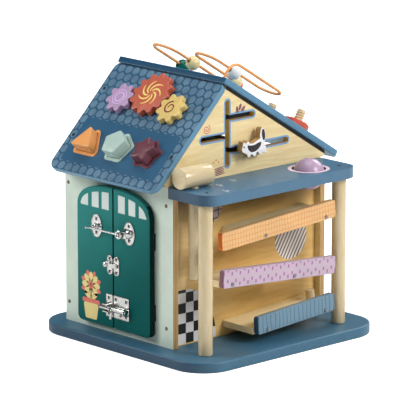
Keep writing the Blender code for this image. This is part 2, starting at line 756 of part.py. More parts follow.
def build_shelf(looks):
    """Porch shelf with the ball hole, its groove and grip ring, and the mallet's hole."""
    frame = station("shelf_top", (0, 0, PANEL_TOP_Z), (1, 0, 0), (0, 1, 0))
    corners = rectangle(PORCH_X, SHELF_OUTER_X, -SHELF_HALF_WIDTH, SHELF_HALF_WIDTH)
    outline = rounded(corners, [0, SHELF_CORNER, SHELF_CORNER, 0], END_STEPS)
    hole = BALL_DIAMETER / 2 + BALL_HOLE_CLEARANCE
    handle_hole = HANDLE_DIAMETER / 2 + HANDLE_HOLE_CLEARANCE
    holes = [
        circle(BALL_X, BALL_Y, hole, FINE_STEPS),
        circle(MALLET_X, MALLET_Y, handle_hole, ROUND_STEPS),
    ]
    shelf = piece("porch_shelf", slab(outline, -SHELF_THICKNESS, 0, holes), looks["blue"], frame)
    bore = BALL_DIAMETER / 2 + SEAT_GAP
    ring_outer = bore + GRIP_RING_THICKNESS
    low = -GRIP_BELOW_TOP - GRIP_RING_HEIGHT / 2
    high = -GRIP_BELOW_TOP + GRIP_RING_HEIGHT / 2
    groove = [
        (hole - OVERRUN, low - SEAT_GAP),
        (ring_outer + SEAT_GAP, low - SEAT_GAP),
        (ring_outer + SEAT_GAP, high + SEAT_GAP),
        (hole - OVERRUN, high + SEAT_GAP),
    ]
    centre = (BALL_X, BALL_Y, 0)
    cut(shelf, moved(turned(groove, FINE_STEPS, closed=True), centre))
    crown = (high - low) * GRIP_CROWN_SHARE
    ring = [
        (bore + crown, low),
        (ring_outer, low),
        (ring_outer, high),
        (bore + crown, high),
        (bore, (low + high) / 2),
    ]
    shape = moved(turned(ring, FINE_STEPS, closed=True), centre)
    piece("ball_grip_ring", shape, looks["black"], frame)
    return frame


def build_posts(looks):
    """Two round posts between the base and the shelf."""
    low = BASE_TOP
    high = SHELF_Z - SEAT_GAP
    profile = rod_profile(POST_DIAMETER / 2, low, high, POST_EASE)
    for name, y in (("post_front", POST_FRONT_Y), ("post_back", POST_BACK_Y)):
        frame = station(name + "_foot", (POST_X, y, 0), (1, 0, 0), (0, 1, 0))
        piece(name, turned(profile), looks["pale_wood"], frame)


def build_ramp(looks, name, height, lean, floor_ends, fence_ends):
    """Sloping floor board against the wall with a fence along its outer edge."""
    along = (0, cos(lean), sin(lean))
    up = (0, -sin(lean), cos(lean))
    frame = station(name + "_ramp", (PORCH_X, 0, height), along, up)
    start, end = (y / cos(lean) for y in floor_ends)
    floor = slab(rectangle(start, end, 0, BOARD), 0, RAMP_FLOOR_WIDTH)
    piece(name + "_ramp_floor", floor, looks["wood"], frame)
    start, end = (y / cos(lean) for y in fence_ends)
    outline = rounded(rectangle(start, end, 0, FENCE_HEIGHT), [FENCE_CORNER] * 4)
    inner = RAMP_FLOOR_WIDTH + SEAT_GAP
    fence = slab(outline, inner, inner + BOARD, ease=EDGE_EASE)
    piece(name + "_ramp_fence", fence, looks[name + "_ramp"], frame)
    return frame


def build_ramps(looks):
    """Three ramps that fall to alternate ends, and the stop peg on the lowest one."""
    build_ramp(
        looks, "top", TOP_RAMP_Z, TOP_RAMP_LEAN,
        (TOP_FLOOR_START_Y, TOP_FLOOR_END_Y), (TOP_FENCE_START_Y, TOP_FENCE_END_Y),
    )
    build_ramp(
        looks, "middle", MIDDLE_RAMP_Z, MIDDLE_RAMP_LEAN,
        (MIDDLE_FLOOR_START_Y, MIDDLE_FLOOR_END_Y), (MIDDLE_FENCE_START_Y, MIDDLE_FENCE_END_Y),
    )
    frame = build_ramp(
        looks, "bottom", BOTTOM_RAMP_Z, BOTTOM_RAMP_LEAN,
        (BOTTOM_FLOOR_START_Y, BOTTOM_FLOOR_END_Y), (BOTTOM_FENCE_START_Y, BOTTOM_FENCE_END_Y),
    )
    foot = BOARD + SEAT_GAP
    profile = rod_profile(PEG_DIAMETER / 2, 0, PEG_HEIGHT, PEG_EASE)
    stand = (BOTTOM_FLOOR_END_Y - PEG_FROM_END, foot, PEG_FROM_WALL)
    peg = moved(turned(profile), stand, Matrix.Rotation(-pi / 2, 3, "X"))
    piece("bottom_ramp_peg", peg, looks["pale_wood"], frame)


def build_ball(looks, shelf):
    """Ball held by the grip ring, with its middle at the ring's height."""
    centre = (BALL_X, BALL_Y, -GRIP_BELOW_TOP)
    radius = BALL_DIAMETER / 2
    profile = arc(0, 0, radius, -pi / 2, pi / 2, HALF_TURN_STEPS)[1:-1]
    ball = moved(turned([(0, -radius), *profile, (0, radius)], FINE_STEPS), centre)
    piece("ball", ball, looks["lavender"], shelf, centre)


def build_mallet(looks, shelf):
    """Mallet standing in its hole, its head lying along Y on the shelf."""
    radius = MALLET_HEAD_DIAMETER / 2
    half = MALLET_HEAD_LENGTH / 2
    middle = radius + SEAT_GAP
    pivot = (MALLET_X, MALLET_Y, middle)
    profile = rod_profile(radius, -half, half, MALLET_HEAD_CHAMFER)
    head = moved(turned(profile, FINE_STEPS), pivot, Matrix.Rotation(pi / 2, 3, "X"))
    head = piece("mallet_head", head, looks["pale_wood"], shelf, pivot)
    bore = rod_profile(HANDLE_DIAMETER / 2 + SEAT_GAP, -OVERRUN, HANDLE_IN_HEAD + SEAT_GAP * 2)
    cut(head, moved(turned(bore), (MALLET_X, MALLET_Y, 0)))
    low = -SHELF_THICKNESS - HANDLE_BELOW_SHELF
    handle = rod_profile(HANDLE_DIAMETER / 2, low, HANDLE_IN_HEAD + SEAT_GAP, HANDLE_EASE)
    shape = moved(turned(handle), (MALLET_X, MALLET_Y, 0))
    piece("mallet_handle", shape, looks["pale_wood"], shelf, pivot)


def door_outline(side):
    """One door leaf seen from the front, left (-1) or right (1) of the split."""
    near = DOOR_SPLIT_GAP / 2
    arch = superellipse(DOOR_HALF_WIDTH, DOOR_RISE, ARCH_STEPS)
    top = [(x, DOOR_SPRING_Z + z) for x, z in arch if x > near]
    crown = DOOR_SPRING_Z + DOOR_RISE
    foot = rounded(
        [
            (near, DOOR_BOTTOM_Z),
            (DOOR_HALF_WIDTH, DOOR_BOTTOM_Z),
            (DOOR_HALF_WIDTH, DOOR_SPRING_Z),
            (near, DOOR_SPRING_Z),
        ],
        [DOOR_INNER_CORNER, DOOR_OUTER_CORNER, 0, 0],
    )[:-2]
    outline = foot + top + [(near, crown)]
    if side < 0:
        outline = [(-x, z) for x, z in reversed(outline)]
    return [(DOOR_SPLIT_X + x, z) for x, z in outline]


def hinge_outline():
    """Section of a hinge: the knuckle, a web towards the panel and the leaf on the panel."""
    radius = KNUCKLE_DIAMETER / 2
    half_web = HINGE_WEB / 2
    spread = atan2(half_web, sqrt(radius**2 - half_web**2))
    reach = HINGE_INSET + DOOR_BACK_GAP - SEAT_GAP
    leaf = reach - HINGE_LEAF
    knuckle = arc(0, 0, radius, pi / 2 + spread, 5 * pi / 2 - spread, SMALL_STEPS)
    right = [(half_web, leaf), (HINGE_LEAF_OUTER, leaf), (HINGE_LEAF_OUTER, reach)]
    left = [(-HINGE_LEAF_INNER, reach), (-HINGE_LEAF_INNER, leaf), (-half_web, leaf)]
    return knuckle + right + left


def build_doors(looks):
    """Two doors, each on two small hinges let into its outer back corner."""
    frame = station("door_front", (0, DOOR_FRONT_Y, 0), (1, 0, 0), (0, 0, 1))
    notch = HINGE_INSET + KNUCKLE_DIAMETER / 2 + SEAT_GAP
    half_length = HINGE_LENGTH / 2
    leaves = (("left", -1, LEFT_HINGE_X), ("right", 1, RIGHT_HINGE_X))
    for name, side, axis_x in leaves:
        pivot = (axis_x, DOOR_BOTTOM_Z, HINGE_DEPTH)
        shape = slab(door_outline(side), -DOOR_THICKNESS, 0, ease=DOOR_EASE)
        door = piece("door_" + name, shape, looks["teal"], frame, pivot)
        edge = DOOR_SPLIT_X + side * DOOR_HALF_WIDTH
        ends = sorted((edge - side * notch, edge + side * OVERRUN))
        for height, level in ((HINGE_LOW_Z, "lower"), (HINGE_HIGH_Z, "upper")):
            low = height - half_length - SEAT_GAP
            high = height + half_length + SEAT_GAP
            back = -DOOR_THICKNESS
            cut(door, slab(rectangle(*ends, low, high), back - OVERRUN, back + notch))
            at = (axis_x, DOOR_FRONT_Y - HINGE_DEPTH, height - half_length)
            foot = station("hinge_" + name + "_" + level + "_foot", at, (1, 0, 0), (0, 1, 0))
            outline = hinge_outline()
            if side < 0:
                outline = [(-x, y) for x, y in reversed(outline)]
            piece("hinge_" + name + "_" + level, slab(outline, 0, HINGE_LENGTH), looks["steel"], foot)
    return frame


def oval(centre_x, centre_y):
    """Oval latch plate."""
    turns = circle(0, 0, 1, ROUND_STEPS)
    return slab(
        [(centre_x + x * OVAL_WIDTH / 2, centre_y + y * OVAL_HEIGHT / 2) for x, y in turns],
        SEAT_GAP,
        PLATE_TOP,
    )


def stadium(left, right, low, high):
    """Outline with its shorter ends fully round."""
    radius = min(right - left, high - low) / 2
    if right - left > high - low:
        start = arc(left + radius, low + radius, radius, pi / 2, 3 * pi / 2, END_STEPS)
        return start + arc(right - radius, low + radius, radius, -pi / 2, pi / 2, END_STEPS)
    start = arc(left + radius, low + radius, radius, -pi, 0, END_STEPS)
    return start + arc(left + radius, high - radius, radius, 0, pi, END_STEPS)


def build_hook(looks, frame, left, right):
    """Hook latch: the open eye on the left door, and the hook turning on the right door's plate."""
    plate = piece("hook_eye_plate", oval(EYE_PLATE_X, OVAL_Z), looks["chrome"], frame, left)
    section = arc(HOOK_HEIGHT, HOOK_Z, EYE_RADIUS, EYE_START, EYE_END, HALF_TURN_STEPS)
    fuse(plate, tube([(EYE_PLATE_X, y, z) for z, y in section], EYE_WIRE / 2, WIRE_SIDES))
    boss = rod_profile(EYE_BOSS_DIAMETER / 2, SEAT_GAP * 2, HOOK_HEIGHT - EYE_RADIUS)
    fuse(plate, moved(turned(boss, SMALL_STEPS), (EYE_PLATE_X, HOOK_Z, 0)))

    low = HOOK_HEIGHT - HOOK_WIRE / 2 - SEAT_GAP - TONGUE_THICKNESS
    high = low + TONGUE_THICKNESS
    plate = piece("hook_pivot_plate", oval(PIVOT_PLATE_X, OVAL_Z), looks["chrome"], frame, right)
    dome = rod_profile(PIVOT_DOME_DIAMETER / 2, SEAT_GAP * 2, high + SEAT_GAP, TONGUE_THICKNESS)
    fuse(plate, moved(turned(dome, SMALL_STEPS), (PIVOT_PLATE_X, OVAL_Z, 0)))
    half = TONGUE_WIDTH / 2
    tongue = stadium(HOOK_PIVOT_X - half, PIVOT_PLATE_X, HOOK_Z - half, HOOK_Z + half)
    fuse(plate, slab(tongue, low, high))
    pin = HOOK_RING_BORE / 2 - SEAT_GAP
    top = HOOK_HEIGHT + HOOK_WIRE / 2 + SEAT_GAP
    head = PIVOT_HEAD_DIAMETER / 2
    profile = [(0, low + SEAT_GAP), (pin, low + SEAT_GAP), (pin, top), (head, top)]
    profile += [(head, top + PIVOT_HEAD_HEIGHT), (0, top + PIVOT_HEAD_HEIGHT)]
    fuse(plate, moved(turned(profile, SMALL_STEPS), (HOOK_PIVOT_X, HOOK_Z, 0)))

    pivot = (HOOK_PIVOT_X, HOOK_Z, HOOK_HEIGHT)
    wire = HOOK_WIRE / 2
    inner = HOOK_RING_BORE / 2
    outer = HOOK_RING_OUTER / 2
    flat = wire / 2
    ring = [(inner, flat), (inner, -flat), (inner + flat, -wire), (outer - flat, -wire)]
    ring += [(outer, -flat), (outer, flat), (outer - flat, wire), (inner + flat, wire)]
    shape = moved(turned(ring, ROUND_STEPS, closed=True), pivot)
    hook = piece("hook", shape, looks["chrome"], frame, pivot)
    start = HOOK_PIVOT_X - (inner + outer) / 2
    tip = HOOK_PIVOT_X - HOOK_LENGTH
    curl = tip + HOOK_CURL_LENGTH
    route = [(start, HOOK_Z, HOOK_HEIGHT), (curl, HOOK_Z, HOOK_HEIGHT)]
    steps = CORNER_STEPS
    for i in range(1, steps + 1):
        lift = HOOK_CURL * (1 - cos(pi * i / steps)) / 2
        route.append((curl - HOOK_CURL_LENGTH * i / steps, HOOK_Z, HOOK_HEIGHT + lift))
    fuse(hook, tube(route, wire - SEAT_GAP, WIRE_SIDES))


def build_turn_bar(looks, frame, left, right):
    """Turn bar latch: the bar turns on the right door's plate and lies under a rest on the left."""
    half_width = BAR_PLATE_WIDTH / 2
    half_height = BAR_PLATE_HEIGHT / 2
    plates = []
    for name, x, pivot in (("rest", BAR_REST_X, left), ("pivot", BAR_PIVOT_X, right)):
        outline = stadium(x - half_width, x + half_width, BAR_Z - half_height, BAR_Z + half_height)
        shape = slab(outline, SEAT_GAP, PLATE_TOP)
        plates.append(piece("bar_" + name + "_plate", shape, looks["chrome"], frame, pivot))
    low = PLATE_TOP + SEAT_GAP
    high = low + BAR_THICKNESS
    under = BAR_Z + BAR_WIDTH / 2 + SEAT_GAP
    half_rest = BAR_REST_LENGTH / 2
    rest = rectangle(BAR_REST_X - half_rest, BAR_REST_X + half_rest, under, under + BAR_REST_WIDTH)
    fuse(plates[0], slab(rest, SEAT_GAP * 2, high + BAR_THICKNESS))
    pin = BAR_PIN_DIAMETER / 2
    head = BAR_PIN_HEAD / 2
    top = high + SEAT_GAP
    profile = [(0, SEAT_GAP * 2), (pin, SEAT_GAP * 2), (pin, top), (head, top)]
    profile += [(head, top + BAR_PIN_HEAD_HEIGHT), (0, top + BAR_PIN_HEAD_HEIGHT)]
    fuse(plates[1], moved(turned(profile, SMALL_STEPS), (BAR_PIVOT_X, BAR_Z, 0)))
    pivot = (BAR_PIVOT_X, BAR_Z, low)
    half = BAR_WIDTH / 2
    outline = stadium(BAR_KNOB_X - half, BAR_PIVOT_X + half, BAR_Z - half, BAR_Z + half)
    hole = circle(BAR_PIVOT_X, BAR_Z, pin + SEAT_GAP, SMALL_STEPS)
    bar = piece("turn_bar", slab(outline, low, high, [hole]), looks["chrome"], frame, pivot)
    radius = BAR_KNOB_DIAMETER / 2
    neck = low + SEAT_GAP
    swell = neck + BAR_KNOB_HEIGHT * KNOB_SWELL_SHARE
    shoulder = neck + BAR_KNOB_HEIGHT * KNOB_SHOULDER_SHARE
    dome = [(0, neck), (radius * KNOB_FOOT_SHARE, neck), (radius, swell)]
    dome += [(radius * KNOB_CROWN_SHARE, shoulder), (0, neck + BAR_KNOB_HEIGHT)]
    fuse(bar, moved(turned(dome, SMALL_STEPS), (BAR_KNOB_X, BAR_Z, 0)))


def loop_section(reach, open_front):
    """Section of a guide loop round the bolt, or its two cheeks where the front is open."""
    inner = BOLT_DIAMETER / 2 + SEAT_GAP
    outer = inner + LOOP_WALL
    foot = SEAT_GAP * 2
    if open_front:
        top = BOLT_HEIGHT + reach
        return [
            rectangle(inner, outer, foot, top),
            rectangle(-outer, -inner, foot, top),
        ]
    outside = arc(0, BOLT_HEIGHT, outer, 0, pi, HALF_TURN_STEPS)
    inside = arc(0, BOLT_HEIGHT, inner, pi, 0, HALF_TURN_STEPS)
    return [[(outer, foot), *outside, (-outer, foot), (-inner, foot), *inside, (inner, foot)]]


def add_loop(item, left, right, sections):
    """Fuse loop sections, drawn across the bolt, to a plate between two places along X."""
    turn = Matrix(((0, 0, 1), (1, 0, 0), (0, 1, 0)))
    for section in sections:
        shape = slab(section, 0, right - left)
        fuse(item, moved(shape, (left, BOLT_Z, 0), turn))


def build_barrel_bolt(looks, frame, left, right):
    """Barrel bolt on the right door, with its open keeper on the left door."""
    low = BOLT_Z - BOLT_PLATE_HEIGHT / 2 + BOLT_PLATE_LIFT
    high = low + BOLT_PLATE_HEIGHT
    corner = [BOLT_PLATE_CORNER] * 4
    ends = rectangle(KEEPER_LEFT_X, KEEPER_RIGHT_X, low, high)
    outline = rounded(ends, corner, PLATE_CORNER_STEPS)
    shape = slab(outline, SEAT_GAP, PLATE_TOP)
    keeper = piece("bolt_keeper", shape, looks["chrome"], frame, left)
    middle = (KEEPER_LEFT_X + KEEPER_RIGHT_X) / 2
    reach = BOLT_DIAMETER / 2
    half = KEEPER_LOOP_LENGTH / 2
    add_loop(keeper, middle - half, middle + half, loop_section(reach, True))
    ends = rectangle(BOLT_PLATE_LEFT_X, BOLT_PLATE_RIGHT_X, low, high)
    outline = rounded(ends, corner, PLATE_CORNER_STEPS)
    shape = slab(outline, SEAT_GAP, PLATE_TOP)
    plate = piece("bolt_plate", shape, looks["chrome"], frame, right)
    loop = loop_section(reach, False)
    add_loop(plate, BOLT_PLATE_LEFT_X, BOLT_PLATE_LEFT_X + LOOP_WIDTH, loop)
    add_loop(plate, BOLT_PLATE_RIGHT_X - LOOP_WIDTH, BOLT_PLATE_RIGHT_X, loop)

    pivot = (BOLT_TIP_X, BOLT_Z, BOLT_HEIGHT)
    radius = BOLT_DIAMETER / 2
    length = BOLT_PLATE_RIGHT_X + BOLT_TAIL - BOLT_TIP_X
    profile = rod_profile(radius, 0, length, BOLT_TIP_EASE)
    shape = moved(turned(profile, ROUND_STEPS), pivot, Matrix.Rotation(pi / 2, 3, "Y"))
    bolt = piece("slide_bolt", shape, looks["chrome"], frame, pivot)
    lever_x = BOLT_PLATE_LEFT_X + LOOP_WIDTH + SEAT_GAP + LEVER_BALL / 2
    reach = BOLT_HEIGHT + LEVER_REACH
    bend = LEVER_REACH / 2
    route = [(lever_x, BOLT_Z, BOLT_HEIGHT), (lever_x, BOLT_Z, reach - bend)]
    turn = arc(BOLT_Z - bend, reach - bend, bend, 0, pi / 2, CORNER_STEPS)
    route += [(lever_x, y, z) for y, z in turn]
    route.append((lever_x, BOLT_Z - LEVER_DROP, reach))
    fuse(bolt, tube(route, LEVER_DIAMETER / 2, WIRE_SIDES))


def gear_outline(teeth, phase):
    """Round-toothed gear: a flattened cosine wave about a circle inside the pitch circle."""
    pitch = GEAR_MODULE * teeth / 2
    outline = []
    for i in range(teeth * TOOTH_STEPS):
        angle = 2 * pi * i / (teeth * TOOTH_STEPS)
        wave = cos(teeth * angle)
        wave /= sqrt(wave**2 + TOOTH_FLATNESS * (1 - wave**2))
        radius = pitch - TOOTH_CLEARANCE + TOOTH_HALF_DEPTH * wave
        outline.append((radius * cos(angle + phase), radius * sin(angle + phase)))
    return outline


def meshing_phase(x, up, teeth):
    """Turn of a small gear that puts its gaps against the large gear's teeth."""
    bearing = atan2(up - LARGE_GEAR_UP, x - LARGE_GEAR_X)
    return (LARGE_TEETH * bearing + teeth * (bearing + pi) + pi) / teeth


def build_gears(looks, roof):
    """Three meshing gears, each on a pin that stands in the roof board."""
    bore = GEAR_PIN_DIAMETER / 2 + SEAT_GAP
    for name, x, up, teeth in gear_places():
        phase = 0 if teeth == LARGE_TEETH else meshing_phase(x, up, teeth)
        outline = shifted(gear_outline(teeth, phase), x, up)
        shape = slab(outline, GEAR_LIFT, GEAR_LIFT + GEAR_THICKNESS)
        pivot = (x, up, GEAR_LIFT)
        gear = piece(name, shape, looks[name], roof, pivot)
        hole = rod_profile(bore, GEAR_LIFT - OVERRUN, GEAR_PIN_RISE + SEAT_GAP)
        cut(gear, moved(turned(hole, SMALL_STEPS), (x, up, 0)))
        pin = rod_profile(GEAR_PIN_DIAMETER / 2, -BOARD, GEAR_PIN_RISE)
        shape = moved(turned(pin, SMALL_STEPS), (x, up, 0))
        piece(name + "_pin", shape, looks["pale_wood"], roof)


def build_blocks(looks, roof):
    """Three shape blocks, each standing in its own hole in the front roof."""
    for name, outline, x in block_places():
        pivot = (x, BLOCK_UP, 0)
        low = BLOCK_PROUD - BLOCK_THICKNESS
        shape = slab(shifted(outline, x, BLOCK_UP), low, BLOCK_PROUD, ease=BLOCK_EASE)
        piece(name, shape, looks[name], roof, pivot)


def wire_route():
    """Wire from the roof at strand 5, round four flat loops, to the roof below strand 1."""
    foot_5, foot_1 = (down for _, down in bead_foot_ends())
    crown = WIRE_HEIGHT - WIRE_BEND
    rise = arc(foot_5 + WIRE_BEND, crown, WIRE_BEND, pi, pi / 2, LOOP_STEPS)
    route = [(STRAND_5_X, foot_5, -BOARD)]
    route += [(STRAND_5_X, down, height) for down, height in rise]
    strands = [STRAND_5_X, STRAND_4_X, STRAND_3_X, STRAND_2_X, STRAND_1_X]
    for i, (here, there) in enumerate(zip(strands, strands[1:])):
        centre = (here + there) / 2
        radius = (here - there) / 2
        down = LOWER_LOOPS_DOWN if i % 2 == 0 else UPPER_LOOPS_DOWN
        end = pi if i % 2 == 0 else -pi
        turn = arc(centre, down, radius, 0, end, LOOP_STEPS)
        route += [(x, y, WIRE_HEIGHT) for x, y in turn]
    fall = arc(foot_1 - WIRE_BEND, crown, WIRE_BEND, pi / 2, 0, LOOP_STEPS)
    route += [(STRAND_1_X, down, height) for down, height in fall]
    route.append((STRAND_1_X, foot_1, -BOARD))
    return route


def bead_shape():
    """Round bead with a straight bore, its bore along local Y."""
    radius = BEAD_DIAMETER / 2
    bore = BEAD_BORE / 2
    reach = atan2(sqrt(radius**2 - bore**2), bore)
    profile = arc(0, 0, radius, -reach, reach, BEAD_ARC_STEPS)
    shape = turned(profile, BEAD_STEPS, closed=True)
    return moved(shape, (0, 0, 0), Matrix.Rotation(pi / 2, 3, "X"))


def build_bead_maze(looks, roof):
    """Bead wire and its five beads, which hang from it by the tops of their bores."""
    shape = tube(wire_route(), WIRE_DIAMETER / 2, WIRE_SIDES)
    piece("bead_wire", shape, looks["orange"], roof)
    hang = WIRE_HEIGHT - (BEAD_BORE / 2 - WIRE_DIAMETER / 2 - SEAT_GAP)
    strung = (
        ("bead_teal", "teal_bead", STRAND_1_X, TEAL_BEAD_DOWN),
        ("bead_cream_upper", "cream", STRAND_2_X, CREAM_BEAD_DOWN),
        ("bead_white", "white", STRAND_4_X, WHITE_BEAD_DOWN),
    )
    for name, look, x, down in strung:
        at = (x, down, hang)
        piece(name, moved(bead_shape(), at), looks[look], roof, at)
    height = WIRE_HEIGHT - LOOP_BEAD_HANG
    at = (STRAND_3_X - LOOP_BEAD_INWARD, LOWER_LOOPS_DOWN, height)
    piece("bead_cream_lower", moved(bead_shape(), at), looks["cream"], roof, at)
    centre = (STRAND_2_X + STRAND_3_X) / 2
    radius = (STRAND_3_X - STRAND_2_X) / 2 - LOOP_BEAD_INWARD
    bearing = pi / 2 - LOOP_BEAD_ANGLE
    at = (centre + radius * cos(bearing), LOWER_LOOPS_DOWN + radius * sin(bearing), height)
    shape = moved(bead_shape(), at, Matrix.Rotation(bearing, 3, "Z"))
    piece("bead_coral", shape, looks["coral"], roof, (centre, LOWER_LOOPS_DOWN, height))


def build_studs(looks, roof):
    """Two large bolts that stand in the back roof, each with a round-cornered hexagonal nut."""
    radius = STUD_DIAMETER / 2
    corner_radius = NUT_ACROSS / 2 / cos(pi / 6)
    for name, x in (("left", STUD_LEFT_X), ("right", STUD_RIGHT_X)):
        at = (x, STUD_DOWN, 0)
        profile = rod_profile(radius, -BOARD, STUD_RISE, STUD_EASE)
        piece("stud_" + name, moved(turned(profile), at), looks["pale_wood"], roof)
        corners = arc(0, 0, corner_radius, 0, 2 * pi, 6)[:-1]
        outline = shifted(rounded(corners, [NUT_CORNER] * 6, NUT_CORNER_STEPS), x, STUD_DOWN)
        hole = circle(x, STUD_DOWN, radius + SEAT_GAP, ROUND_STEPS)
        shape = slab(outline, SEAT_GAP, SEAT_GAP + NUT_HEIGHT, [hole], ease=NUT_EASE)
        piece("nut_" + name, shape, looks["coral"], roof, at)


def smooth_loop(points, steps):
    """Closed curve through the points, bending evenly from each to the next."""
    curve = []
    count = len(points)
    for i in range(count):
        before, here, there, after = (Vector(points[(i + k) % count]) for k in (-1, 0, 1, 2))
        for j in range(steps):
            t = j / steps
            pull = (there - before) * t + (before * 2 - here * 5 + there * 4 - after) * t**2
            pull += (here * 3 - before - there * 3 + after) * t**3
            curve.append(tuple(here + pull / 2))
    return curve


def build_slider(looks):
    """Figure in front of the porch wall, on a stem that runs through the lower maze slot."""
    origin = (PORCH_WALL_X, SLIDER_Y, SLOT_LOWER_Z)
    frame = station("slider", origin, (0, 1, 0), (0, 0, 1))
    stem = STEM_DIAMETER / 2
    collar = COLLAR_DIAMETER / 2
    retainer = RETAINER_DIAMETER / 2
    inside = -BOARD - SEAT_GAP
    face = SEAT_GAP + COLLAR_LENGTH
    profile = [(0, inside - RETAINER_THICKNESS), (retainer, inside - RETAINER_THICKNESS)]
    profile += [(retainer, inside), (stem, inside), (stem, SEAT_GAP), (collar, SEAT_GAP)]
    profile += [(collar, face), (stem, face), (stem, face + TENON_LENGTH), (0, face + TENON_LENGTH)]
    piece("slider_stem", turned(profile, SMALL_STEPS), looks["pale_wood"], frame)
    back = face + SEAT_GAP
    outline = [
        (x * FIGURE_WIDTH - FIGURE_AHEAD_OF_STEM, y * FIGURE_HEIGHT - FIGURE_BELOW_STEM)
        for x, y in smooth_loop(FIGURE_SHARES, FIGURE_CURVE_STEPS)
    ]
    shape = slab(outline, back, back + FIGURE_THICKNESS, ease=FIGURE_EASE)
    figure = piece("slider_figure", shape, looks["white"], frame)
    bore = rod_profile(stem + SEAT_GAP, back - OVERRUN, face + TENON_LENGTH + SEAT_GAP)
    cut(figure, turned(bore, SMALL_STEPS))


def build_looks():
    """Materials of the whole toy."""
    wood = 0.55
    return {
        "blue": finish("blue_paint", 0.16, 0.30, 0.42),
        "mint": finish("mint_paint", 0.52, 0.62, 0.52),
        "teal": finish("teal_paint", 0.03, 0.18, 0.17),
        "wood": finish("plywood", 0.62, 0.40, 0.17, wood),
        "pale_wood": finish("turned_wood", 0.72, 0.55, 0.32, wood),
        "chrome": finish("chrome", 0.75, 0.75, 0.78, 0.2, 1.0),
        "steel": finish("hinge_steel", 0.45, 0.45, 0.47, 0.35, 1.0),
        "black": finish("grip_rubber", 0.02, 0.02, 0.02, 0.8),
        "lavender": finish("lavender_paint", 0.55, 0.38, 0.58),
        "cream": finish("cream_paint", 0.72, 0.62, 0.34),
        "teal_bead": finish("bead_teal_paint", 0.0, 0.10, 0.08),
        "white": finish("white_paint", 0.78, 0.78, 0.80),
        "coral": finish("coral_paint", 0.75, 0.15, 0.10),
        "orange": finish("orange_enamel", 0.80, 0.33, 0.12, 0.35),
        "top_ramp": finish("orange_paint", 0.85, 0.42, 0.15),
        "middle_ramp": finish("lilac_paint", 0.62, 0.48, 0.65),
        "bottom_ramp": finish("sky_paint", 0.25, 0.42, 0.60),
        "gear_coral": finish("gear_coral_paint", 0.60, 0.13, 0.08),
        "gear_lavender": finish("gear_lavender_paint", 0.42, 0.28, 0.46),
        "gear_yellow": finish("gear_yellow_paint", 0.72, 0.55, 0.18),
        "block_triangle": finish("triangle_paint", 0.82, 0.35, 0.11),
        "block_pentagon": finish("pentagon_paint", 0.45, 0.62, 0.56),
        "block_star": finish("star_paint", 0.17, 0.06, 0.08),
    }


def build():
    """Build the whole toy from the base up."""
    clear_scene()
    looks = build_looks()
    build_base(looks)
    build_panels(looks)
    build_walls(looks)
    front_roof, back_roof = build_roofs(looks)
    shelf = build_shelf(looks)
    build_posts(looks)
    build_ramps(looks)
    build_ball(looks, shelf)
    build_mallet(looks, shelf)
    doors = build_doors(looks)
    left = (LEFT_HINGE_X, DOOR_BOTTOM_Z, HINGE_DEPTH)
    right = (RIGHT_HINGE_X, DOOR_BOTTOM_Z, HINGE_DEPTH)
    build_hook(looks, doors, left, right)
    build_turn_bar(looks, doors, left, right)
    build_barrel_bolt(looks, doors, left, right)
    build_gears(looks, front_roof)
    build_blocks(looks, front_roof)
    build_bead_maze(looks, back_roof)
    build_studs(looks, back_roof)
    build_slider(looks)


build()
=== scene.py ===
"""Wooden activity house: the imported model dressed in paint, plywood, turned wood, steel and print."""
import json

import bmesh
import bpy
import numpy as np
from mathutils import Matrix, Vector

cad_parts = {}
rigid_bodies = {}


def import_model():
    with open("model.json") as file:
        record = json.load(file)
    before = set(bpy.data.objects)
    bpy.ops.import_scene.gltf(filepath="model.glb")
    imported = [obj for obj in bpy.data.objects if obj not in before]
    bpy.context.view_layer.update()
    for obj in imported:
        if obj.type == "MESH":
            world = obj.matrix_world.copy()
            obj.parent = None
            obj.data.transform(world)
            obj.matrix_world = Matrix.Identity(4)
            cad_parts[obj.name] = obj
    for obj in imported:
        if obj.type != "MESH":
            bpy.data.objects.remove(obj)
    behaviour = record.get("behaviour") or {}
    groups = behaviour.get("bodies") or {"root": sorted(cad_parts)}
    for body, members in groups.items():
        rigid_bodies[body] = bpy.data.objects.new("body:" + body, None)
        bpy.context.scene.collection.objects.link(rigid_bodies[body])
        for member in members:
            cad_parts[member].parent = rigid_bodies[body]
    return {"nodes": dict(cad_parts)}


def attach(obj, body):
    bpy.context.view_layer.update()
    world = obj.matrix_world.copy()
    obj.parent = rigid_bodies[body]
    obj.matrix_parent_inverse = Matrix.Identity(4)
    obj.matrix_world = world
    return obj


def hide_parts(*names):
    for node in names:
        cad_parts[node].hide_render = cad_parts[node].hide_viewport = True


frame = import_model()
NODES = frame["nodes"]
for spare in [item for item in bpy.data.objects if item.name in ("Cube", "Light", "Camera")]:
    bpy.data.objects.remove(spare)
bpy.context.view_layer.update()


# Studio
# A long lens on the house's porch corner, a white floor and backdrop, and soft lamps all round.
# The lens sees a white backdrop, and the house itself is lit by it only faintly.
LENS_PLACE = (3.4683, -3.2144, 1.2752)
LENS_TARGET = (0.0028, -0.0045, 0.1780)
LENS_LENGTH = 300.8
LENS_FILM = 36.0
LENS_REACH = 100
